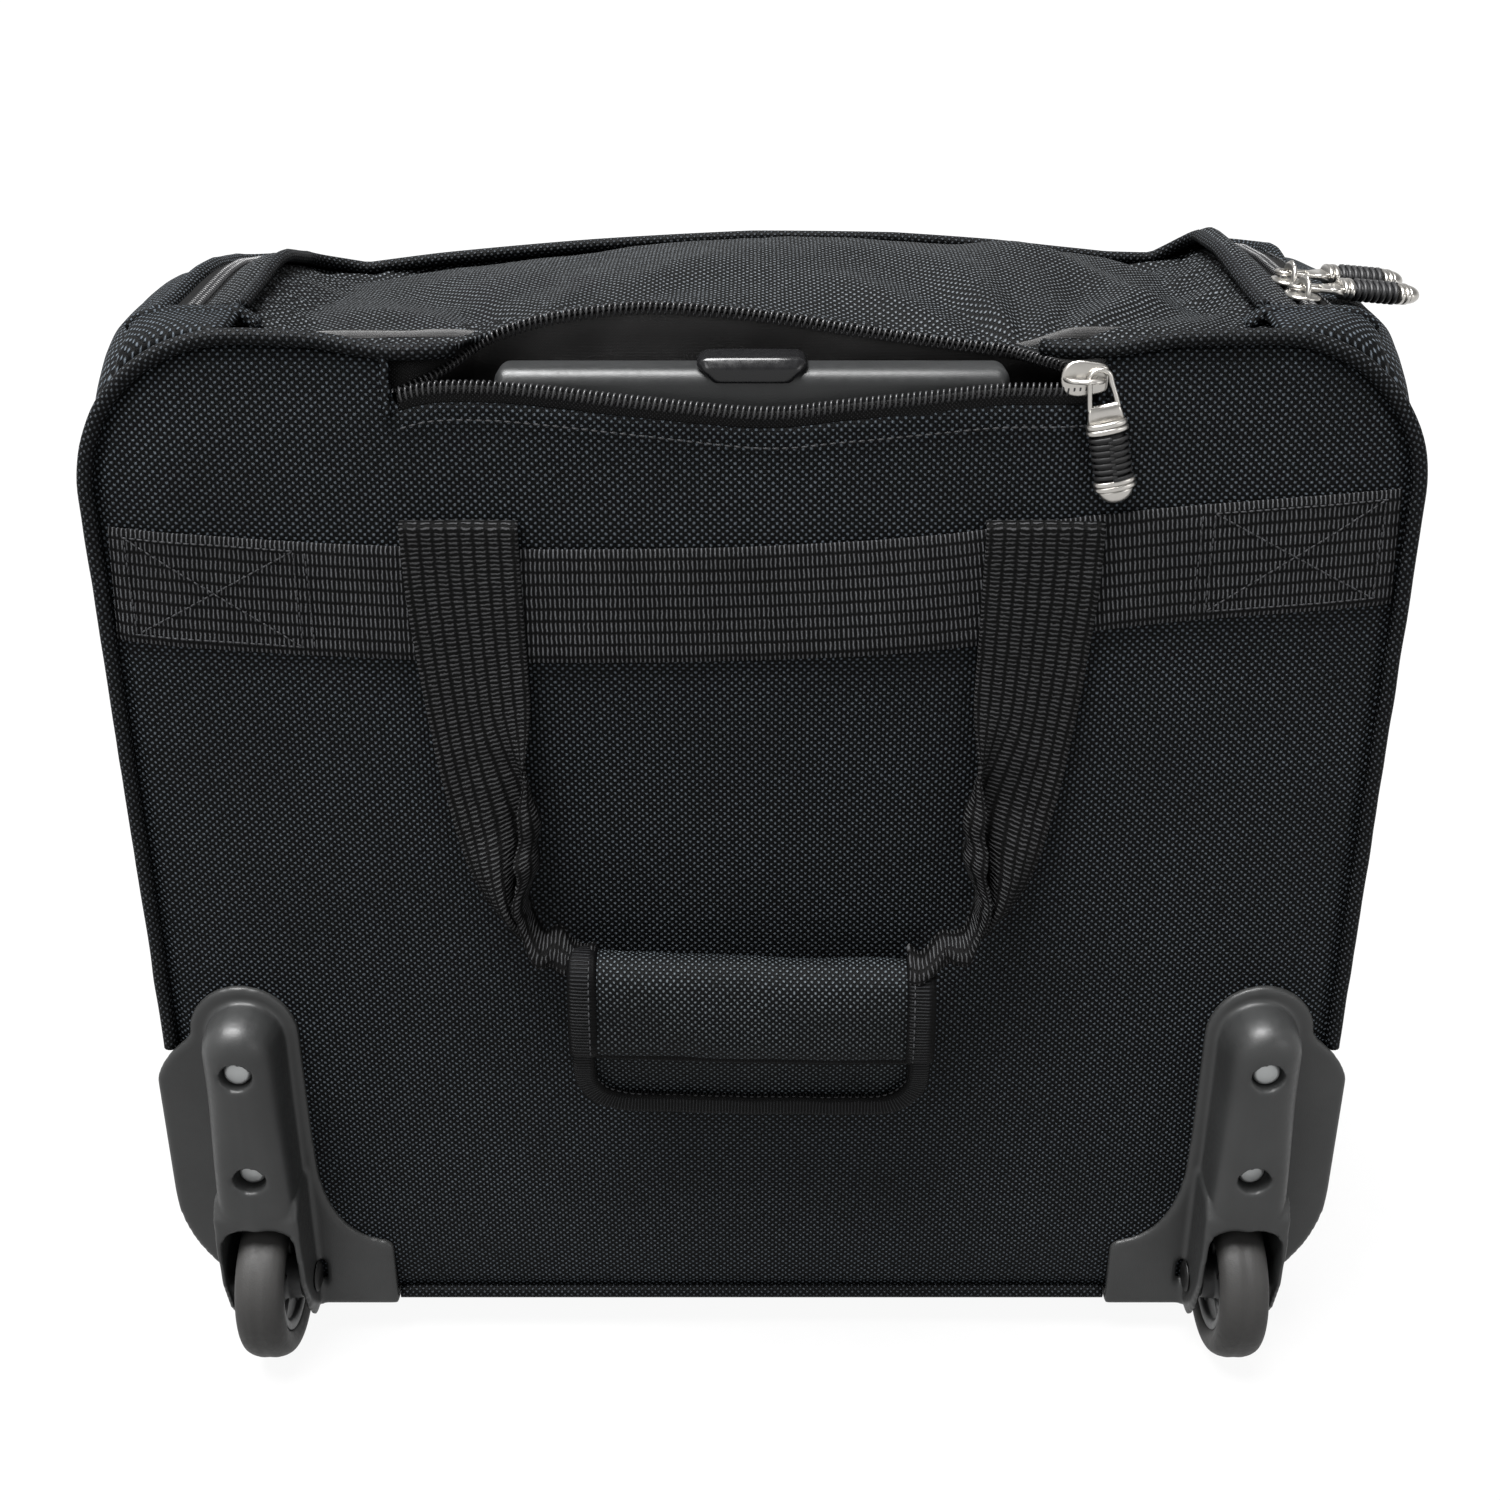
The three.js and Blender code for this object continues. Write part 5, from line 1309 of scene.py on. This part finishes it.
def make_housings():
    for name in ("left", "right"):
        obj = moulded_copy(f"wheel_housing_{name}", f"housing_{name}", 1.15, 2, 60000)
        fill_rib(obj, -189 if name == "left" else 189)
        finish_piece(obj, MOULDED, "case", [f"wheel_housing_{name}"])
        x = -189 if name == "left" else 189
        for level, z, seat in (("upper", 136, -96), ("lower", 90, -94)):
            head = lathe(f"rivet_head_{name}_{level}", rounded_profile([(0, seat - 4.2), (4.0, seat - 4.1), (4.9, seat - 3.4), (5.2, seat - 2.2), (5.2, seat - 0.3), (2.0, seat - 0.3), (2.0, -74.2), (0, -74.2)], 0.5), "y", 36)
            shift(head, x, 0, z)
            finish_piece(head, RIVET, "case", [f"rivet_{name}_{level}"])
    for name in ("left", "right"):
        obj = moulded_copy(f"front_foot_{name}", f"foot_{name}", 0.8, 4, 6000)
        finish_piece(obj, MOULDED, "case", [f"front_foot_{name}"])


# ------------------------------------------------------------------ sliders and pulls
def slider_parts():
    """A zip slider: the track runs along x and its face looks along z."""
    outline = bezier([(-7.6, 0), (-7.4, 5.4), (-3.5, 6.3), (0.5, 5.6)], 10).tolist() + bezier([(0.5, 5.6), (4, 5.0), (7.6, 5.2), (7.6, 2.4)], 10).tolist()[1:]
    top = np.array(outline)
    ring = np.vstack([top, top[::-1][:-1] * (1, -1)])
    levels = [(0.86, 0.0), (0.97, 0.25), (1.0, 0.8), (0.97, 1.35), (0.86, 1.65)]
    P = np.array([np.column_stack([ring * k, np.full(len(ring), z)]) for k, z in levels])
    P = np.concatenate([np.broadcast_to([0, 0, 0.0], (1, len(ring), 3)), P, np.broadcast_to([0, 0, 1.65], (1, len(ring), 3))])
    UV = np.zeros((len(P), len(ring) + 1, 2))
    plate = weld(grid_object("plate", P, UV, wrap=(False, True)))
    arch = smooth_line([(-5.6, 0, 1.2), (-5.4, 0, 3.6), (-3.6, 0, 5.5), (0, 0, 6.1), (3.4, 0, 5.6), (4.9, 0, 3.8), (5.0, 0, 1.2)], 40)
    bridge = sweep("bridge", arch, rounded_box_section(2.9, 1.5, 0.7, 4), (0, 1, 0))
    crown = sweep("crown", [(-3.4, 0, 4.6), (-2.2, 0, 5.9), (0, 0, 6.2), (2.0, 0, 5.9), (3.0, 0, 5.0)], rounded_box_section(3.6, 1.0, 0.45, 3), (0, 1, 0), scale=[0.5, 0.95, 1.1, 0.95, 0.5])
    return [plate, bridge, crown]


def elliptic_disc(name, y, length, rx, rz, level, sides=36, edge=0.35):
    """A short rounded bead whose axis lies along y."""
    a = np.linspace(0, 2 * math.pi, sides, endpoint=False)
    rows = []
    for s, k in ((-1, 0.0), (-1, 0.82), (-0.75, 0.97), (-0.4, 1.0), (0.4, 1.0), (0.75, 0.97), (1, 0.82), (1, 0.0)):
        rows.append(np.column_stack([rx * k * np.cos(a), np.full(sides, y + s * length / 2), level + rz * k * np.sin(a)]))
    P = np.array(rows)
    return weld(grid_object(name, P, np.zeros((len(P), sides + 1, 2)), wrap=(False, True)))


def pull_metal():
    level = 3.2
    a = np.radians(np.linspace(180, 0, 16))
    arc = np.column_stack([3.4 * np.cos(a), 2.9 * np.sin(a) + 0.2, np.full(16, level)])
    path = np.vstack([[(-4.6, -9.5, level), (-4.2, -6.0, level), (-3.6, -2.0, level)], arc[1:-1], [(3.6, -2.0, level), (4.2, -6.0, level), (4.6, -9.5, level)]])
    ring = sweep("d_ring", smooth_line(path, 70), round_section(0.85, 12), (0, 0, 1))
    neck_outline = [(-5.4, -8.2), (5.4, -8.2), (6.2, -13.6), (-6.2, -13.6)]
    rows = np.array([[(-4.9, -8.0), (4.9, -8.0)], [(-5.4, -10.0), (5.4, -10.0)], [(-6.1, -13.9), (6.1, -13.9)]])
    pts = []
    for (l, r), thick in zip(rows, (0.75, 1.0, 1.5)):
        w = r[0] - l[0]
        sec = rounded_box_section(w, 2 * thick, min(thick * 0.95, 0.9), 4)
        pts.append(np.column_stack([sec[:, 0], np.full(len(sec), l[1]), level + 0.3 * (thick - 0.75) + sec[:, 1]]))
    P = np.array(pts)
    P = np.concatenate([np.broadcast_to(P[0].mean(0), (1, *P.shape[1:])), P, np.broadcast_to(P[-1].mean(0), (1, *P.shape[1:]))])
    neck = weld(grid_object("neck", P, np.zeros((len(P), P.shape[1] + 1, 2)), wrap=(False, True)))
    beads = [elliptic_disc("bead_a", -14.4, 2.0, 6.7, 3.45, 3.8), elliptic_disc("bead_b", -16.3, 1.9, 6.9, 3.55, 3.8),
             elliptic_disc("bead_c", -33.6, 1.9, 6.9, 3.55, 3.8), elliptic_disc("bead_d", -35.4, 1.9, 6.8, 3.5, 3.8)]
    core = elliptic_disc("core", -25, 18, 3.4, 2.0, 3.8)
    t = np.linspace(0, math.pi / 2, 9)
    a = np.linspace(0, 2 * math.pi, 36, endpoint=False)
    P = np.array([np.column_stack([5.7 * math.cos(k) * np.cos(a), np.full(36, -36.2 - 4.6 * math.sin(k)), 3.8 + 3.1 * math.cos(k) * np.sin(a)]) for k in t])
    P = np.concatenate([np.broadcast_to([0, -36.2, 3.8], (1, 36, 3)), P])
    dome = weld(grid_object("dome", P, np.zeros((len(P), 37, 2)), wrap=(False, True)))
    return [ring, neck, *beads, core, dome]


def pull_rubber():
    """A ribbed sleeve: two combs of half rings that interlock down the middle."""
    parts = [elliptic_disc("sleeve_core", -25.0, 15.2, 5.3, 2.85, 3.8)]
    a = np.radians(np.linspace(-97, 97, 22))
    for side in (-1, 1):
        for k in range(7):
            y = -18.7 - 2.1 * k - (0.0 if side < 0 else 0.95)
            if y < -32.4:
                continue
            line = np.column_stack([side * (5.75 * np.cos(a)), np.full(len(a), y), 3.8 + 3.05 * np.sin(a)])
            parts.append(sweep(f"rib_{side}_{k}", line, round_section(0.78, 8), (0, 1, 0)))
    return parts


def place_zip(keys, matrix, swing, bodies, sleeve=True):
    """Builds a slider with its pull at a place. The pull turns by swing about the slider's post."""
    post = Matrix.Translation(Vector((4.6, 0, 0)) * MM) @ Matrix.Rotation(swing, 4, "Z")
    slider = join(f"{keys}_slider_metal", slider_parts())
    move(slider, matrix)
    finish_piece(slider, NICKEL, bodies[0], [f"{keys}_slider"])
    metal_part = join(f"{keys}_pull_metal", pull_metal())
    move(metal_part, matrix @ post)
    finish_piece(metal_part, NICKEL, bodies[1], [f"{keys}_pull"])
    rubber_part = join(f"{keys}_pull_rubber", pull_rubber())
    move(rubber_part, matrix @ post)
    finish_piece(rubber_part, PULL_RUBBER, bodies[1], [f"{keys}_pull_sleeve"] if sleeve else ())


def frame_matrix(at, track, up, face):
    m = Matrix.Identity(4)
    for column, v in enumerate((track, up, face)):
        for row in range(3):
            m[row][column] = v[row]
    for row in range(3):
        m[row][3] = at[row] * MM
    return m


def make_sliders():
    place_zip("rear", frame_matrix((106, -81, 388), (1, 0, 0), (0, 0, 1), (0, -1, 0)), math.radians(12), ("rear_slider", "rear_pull"))
    lean = math.radians(5)
    s, c = math.sin(lean), math.cos(lean)
    for key, y in (("main_a", -35), ("main_b", -17)):
        z = float(surface_z(ZIP_X, y)) + 1.6
        place_zip(key, frame_matrix((ZIP_X, y, z), (0, 1, 0), (-c, 0, s), (s, 0, c)), 0.0, (f"{key}_slider", f"{key}_pull"))
    place_zip("front", frame_matrix((138, 110.2, 154), (-1, 0, 0), (0, 0, 1), (0, 1, 0)), 0.0, ("front_slider", "front_pull"), sleeve=False)


# ------------------------------------------------------------------ front side
def front_y(x, z):
    edge = edge_distance(np.asarray(x, float), np.asarray(z, float), HALF - 2.6, BASE + 2.6, 398.5, 43.4, 41.4)
    field = np.stack([x, z, np.full_like(np.asarray(x, float), 50.0)], -1)
    return FRONT + 1.2 * ease(2, 26, edge) + ease(3, 22, edge) * 0.5 * rumple(field, 70.0, 71) - 1.1 * (1 - ease(0, 5, edge))


def make_front():
    half, base, top = HALF - 1.0, BASE + 1.0, 399.2
    x = panel_columns(half, 43.4, 41.4)
    low = bottom_of(x, half, base, 43.4)
    high = top_of(x, half, top, 41.4) + 3 * np.clip(1 - (x / (half - 41.4)) ** 2, 0, 1)
    high = high - settled(x, 90.0) * ease(345, 395, high)
    v = np.linspace(0, 1, 90)[:, None]
    X = np.broadcast_to(x, (90, len(x)))
    Z = low + (high - low) * v
    P = np.stack([X, front_y(X, Z), Z], -1)
    obj = thicken(grid_object("front_panel_fabric", P, np.stack([X, Z], -1), flip=True), 2.4)
    finish_piece(obj, BODY_FABRIC, "case", ["front_panel"])

    def pocket_y(x, z, lift):
        edge = edge_distance(x, z, 178, 42, 176, 26, 26)
        field = np.stack([x, z, np.full_like(x, 90.0)], -1)
        return front_y(x, z) + lift * ease(-1, 7, edge) + ease(2, 20, edge) * (1.0 + 0.7 * rumple(field, 40.0, 73))

    x = np.concatenate([-(152 + 26 * np.sin(np.radians(np.linspace(90, 0, 12)))), np.linspace(-150, 150, 80), 152 + 26 * np.sin(np.radians(np.linspace(0, 90, 12)))])
    low, high = bottom_of(x, 178, 42, 26), top_of(x, 178, 176, 26)
    v = np.linspace(0, 1, 50)[:, None]
    X = np.broadcast_to(x, (50, len(x)))
    Z = low + (high - low) * v
    P = np.stack([X, pocket_y(X, Z, 3.6), Z], -1)
    obj = thicken(grid_object("front_pocket_fabric", P, np.stack([X, Z], -1), flip=True), 2.0)
    finish_piece(obj, BODY_FABRIC, "case", ["front_pocket"])
    outline = [(-178 + 26, 42)] + [(152 + 26 * math.cos(a), 68 + 26 * math.sin(a)) for a in np.radians(np.linspace(-90, 0, 10))]
    outline += [(152 + 26 * math.cos(a), 150 + 26 * math.sin(a)) for a in np.radians(np.linspace(0, 90, 10))]
    outline += [(-152 + 26 * math.cos(a), 150 + 26 * math.sin(a)) for a in np.radians(np.linspace(90, 180, 10))]
    outline += [(-152 + 26 * math.cos(a), 68 + 26 * math.sin(a)) for a in np.radians(np.linspace(180, 262, 10))]
    line, _ = resample(outline + outline[:1], step=3)
    line = line[:-1]
    edge = np.column_stack([line[:, 0], front_y(line[:, 0], line[:, 1]) + 2.2, line[:, 1]])
    trim = sweep("front_pocket_binding", edge, rounded_box_section(9.0, 5.4, 2.2, 4), (0, 1, 0), closed=True)
    finish_piece(trim, BINDING, "case")
    x = np.linspace(-150, 150, 100)
    z = np.full_like(x, 154.0)
    y = pocket_y(x, z, 3.6)
    line = np.column_stack([x, y + 0.7, z])
    tape = ribbon("front_zip_tape", line, (0, 0, 1), -9, 9, 0.8, 9)
    finish_piece(tape, TAPE, "case")
    for dz, label in ((-1.15, "low"), (1.15, "high")):
        finish_piece(coil_mesh(f"front_coil_{label}", line + (0, 1.0, dz), (0, 1, 0), radius=1.1, per_turn=8, turns_shape=0.8), COIL, "case")
    for dz, label in ((-7.6, "low"), (7.6, "high")):
        finish_piece(stitch_mesh(f"front_zip_stitch_{label}", line + (0, 0.7, dz), (0, 1, 0)), THREAD, "case")

    x = np.linspace(-212, 212, 130)
    t = np.concatenate([[-20.0, -19.4], np.linspace(-18.5, 18.5, 13), [19.4, 20.0]])
    X, T = np.meshgrid(x, t, indexing="ij")
    Z = 318 + T
    P = np.stack([X, front_y(X, Z) + 1.2 + 0.5 * ease(20.0, 18.0, np.abs(T)), Z], -1)
    obj = thicken(grid_object("front_band_webbing", P, np.stack([X, T + 0.7], -1)), 1.7)
    finish_piece(obj, WEBBING, "case", ["front_band"])

    count = 170
    inner = smooth_line([(-77, 341), (-77, 300), (-75.5, 262), (-68, 236), (-52, 221), (-36, 218), (0, 217), (36, 218), (52, 221), (68, 236), (75.5, 262), (77, 300), (77, 341)], count)
    tangent = np.gradient(inner, axis=0)
    tangent /= np.linalg.norm(tangent, axis=1, keepdims=True)
    away = np.stack([tangent[:, 1], -tangent[:, 0]], 1)
    along = np.linspace(0, 1, count)
    gather = 1 - 0.3 * bell(along, 0.5, 0.28)
    c = np.linspace(0, 38, 15)
    XZ = inner[:, None] + away[:, None] * (c[None] * gather[:, None])[..., None]
    cup = ((c - 19) / 19) ** 2
    Y = np.broadcast_to(112.3 + 0 * c, (count, 15)) + bell(along, 0.5, 0.3)[:, None] * 2.4 * cup[None]
    P = np.stack([XZ[..., 0], Y, XZ[..., 1]], -1)
    length = np.concatenate([[0], np.cumsum(np.linalg.norm(np.diff(P[:, 7], axis=0), axis=1))])
    UV = np.stack(np.meshgrid(length, c - 18.3, indexing="ij"), -1)
    web = thicken(grid_object("front_handle_webbing", P, UV, flip=True), 1.7, 0.0)
    loops = []
    for side in (-1, 1):
        a = np.radians(np.linspace(0, 300, 24))
        for_ring = []
        for angle in a:
            for_ring.append([(side * 97 + v, 110.9 + 3.0 * math.cos(angle), 339.0 + 3.0 * math.sin(angle)) for v in np.linspace(-19, 19, 15)])
        P = np.array(for_ring)
        UV = np.stack(np.meshgrid(a * 3.0, np.linspace(-18.3, 19.7, 15), indexing="ij"), -1)
        loops.append(thicken(grid_object(f"front_loop_{side}", P, UV), 1.5, 0.0))
    web = join("front_handle_webbing", [web, *loops])
    finish_piece(web, STRAP_WEBBING, "front_handle", ["front_handle"])
    x = np.linspace(-58, 58, 60)
    ring = rounded_box_section(34.0, 9.0, 4.4, 6)
    path = np.column_stack([x, np.full_like(x, 113.2), 200.8 - 2.0 * bell(x, 0, 50)])
    wrap = sweep("front_grip_wrap", path, np.stack([ring[:, 1], ring[:, 0]], 1), (0, 0, 1))
    finish_piece(wrap, WRAP_FABRIC, "front_handle")
    trim = []
    ring = rounded_box_section(36.6, 11.4, 5.4, 6)
    for side in (-1, 1):
        path = np.column_stack([side * np.array([52.5, 53.2, 55.5, 58.0, 60.3, 61.0]), np.full(6, 113.2), np.full(6, 200.4)])
        scale = [0.93, 0.99, 1.0, 1.0, 0.99, 0.93]
        trim.append(sweep("trim", path, np.stack([ring[:, 1], ring[:, 0]], 1), (0, 0, 1), scale=scale))
    finish_piece(join("front_wrap_bindings", trim), BINDING, "front_handle")
    line = np.column_stack([np.linspace(-50, 50, 60), np.full(60, 117.9), 188.0 - 1.4 * bell(np.linspace(-50, 50, 60), 0, 50)])
    finish_piece(stitch_mesh("front_wrap_stitches", line, (0, 1, 0)), THREAD, "front_handle")


# ------------------------------------------------------------------ inside
def make_inside():
    x = np.linspace(-213, 213, 90)
    z = np.linspace(24.6, 398.6, 80)
    X, Z = np.meshgrid(x, z)
    low = bottom_of(x, 213.6, 24.6, 40)
    high = top_of(x, 213.6, 397.0, 24) + 1.4 * np.clip(1 - (x / 190) ** 2, 0, 1)
    high = np.where(np.abs(x) < 176, np.minimum(high, flap_z(x, np.full_like(x, -48.0)) - 3.2), high)
    v = np.linspace(0, 1, 80)[:, None]
    Z = low + (high - low) * v
    field = np.stack([X, Z, 0 * X], -1)
    P = np.stack([X, -48.2 + 0.5 * rumple(field, 50.0, 81), Z], -1)
    obj = thicken(grid_object("bay_lining_cloth", P, np.stack([X, Z], -1)), 1.0, 0.0)
    finish_piece(obj, LINING, "case", ["bay_lining"])
    x = np.linspace(-104, 102, 90)
    v = np.linspace(0, 1, 34)[:, None]
    X = np.broadcast_to(x, (34, 90))
    start, top = on_line(_top_line, x)
    start, top = start + 1.2, top - 0.5
    Z = top + (345 - top) * v
    field = np.stack([X, Z, 0 * X], -1)
    Y = start + (np.maximum(-51.0, start) - start) * ease(0, 0.25, v)
    Y = Y + ease(0.0, 0.2, v) * np.clip(0.9 * rumple(field * (1, 0.5, 1), 22.0, 83), -0.9, 1.2)
    P = np.stack([X, np.clip(Y, -76.0, -49.9), Z], -1)
    obj = thicken(grid_object("pocket_lining_cloth", P, np.stack([X, Z], -1), flip=True), 0.6, 0.0)
    finish_piece(obj, LINING, "case")
    sleeve = moulded_copy("laptop_sleeve", "laptop_sleeve_pad", 3.0, 8, 9000)
    add_box_uv(sleeve)
    finish_piece(sleeve, LINING, "case", ["laptop_sleeve"])
    set_material("base_board", BOARD)


def add_box_uv(obj):
    """Weave coordinates in millimetres from the direction each face looks in."""
    mesh = obj.data
    layer = mesh.uv_layers.new(name="weave")
    values = np.zeros((len(mesh.loops), 2), np.float32)
    for poly in mesh.polygons:
        n = poly.normal
        axis = max(range(3), key=lambda k: abs(n[k]))
        pick = [k for k in range(3) if k != axis]
        for loop in poly.loop_indices:
            co = mesh.vertices[mesh.loops[loop].vertex_index].co
            values[loop] = (co[pick[0]] / MM, co[pick[1]] / MM)
    layer.data.foreach_set("uv", values.ravel())


# ------------------------------------------------------------------ stage
def make_camera():
    data = bpy.data.cameras.new("camera")
    data.lens, data.sensor_width = 43.2, 36.0
    camera = bpy.data.objects.new("camera", data)
    scene.collection.objects.link(camera)
    camera.location = (-0.0007, (BACK - 574.0) * MM, 0.5146)
    camera.rotation_euler = (math.radians(65.86), 0, 0)
    scene.camera = camera


def area_light(name, place, target, size, power, colour=(1, 1, 1)):
    data = bpy.data.lights.new(name, "AREA")
    data.shape = "RECTANGLE"
    data.size, data.size_y = size
    data.energy = power
    data.color = colour
    lamp = bpy.data.objects.new(name, data)
    scene.collection.objects.link(lamp)
    lamp.location = place
    lamp.rotation_euler = (Vector(target) - Vector(place)).to_track_quat("-Z", "Y").to_euler()
    return lamp


def make_stage():
    world = bpy.data.worlds.new("studio")
    world.use_nodes = True
    tree = world.node_tree
    height = tree.nodes.new("ShaderNodeSeparateXYZ")
    tree.links.new(tree.nodes.new("ShaderNodeTexCoord").outputs["Generated"], height.inputs[0])
    fall = tree.nodes.new("ShaderNodeMapRange")
    for key, value in (("From Min", 0.12), ("From Max", 0.45), ("To Min", 1.0), ("To Max", 0.3)):
        fall.inputs[key].default_value = value
    tree.links.new(height.outputs["Z"], fall.inputs["Value"])
    tree.links.new(fall.outputs["Result"], tree.nodes["Background"].inputs["Color"])
    scene.world = world
    mesh = bpy.data.meshes.new("floor")
    mesh.from_pydata([(-60, -60, 0), (60, -60, 0), (60, 60, 0), (-60, 60, 0)], [], [(0, 1, 2, 3)])
    floor = bpy.data.objects.new("floor", mesh)
    scene.collection.objects.link(floor)
    s = Shader("floor", Roughness=0.9, Specular_IOR_Level=0.0, Emission_Color=(1, 1, 1, 1), Emission_Strength=0.93)
    grain = s.noise(60.0, 2.0, s.object_coords())
    s.link(s.mix(s.range(grain, 0.3, 0.7), (0.03, 0.03, 0.03), (0.034, 0.034, 0.034)), "Base Color")
    floor.data.materials.append(s.material)
    sun = bpy.data.lights.new("sky", "SUN")
    sun.energy, sun.angle = 15.0, math.radians(38)
    lamp = bpy.data.objects.new("sky", sun)
    scene.collection.objects.link(lamp)
    lamp.rotation_euler = (math.radians(3), math.radians(-14), 0)
    area_light("key", (-1.1, -1.5, 1.5), (0, 0, 0.2), (0.8, 0.8), 14)
    area_light("fill", (1.3, -1.2, 0.8), (0, 0, 0.2), (0.6, 0.6), 6)
    scene.view_settings.view_transform = "Standard"


make_camera()
make_stage()
make_back_panel()
make_gusset()
make_piping()
make_rear_zip()
make_main_zip()
make_lid()
make_back_band()
make_rear_strap(1, "right")
make_rear_strap(-1, "left")
make_wrap()
make_telescoping_handle()
make_wheels()
make_housings()
make_sliders()
make_front()
make_inside()
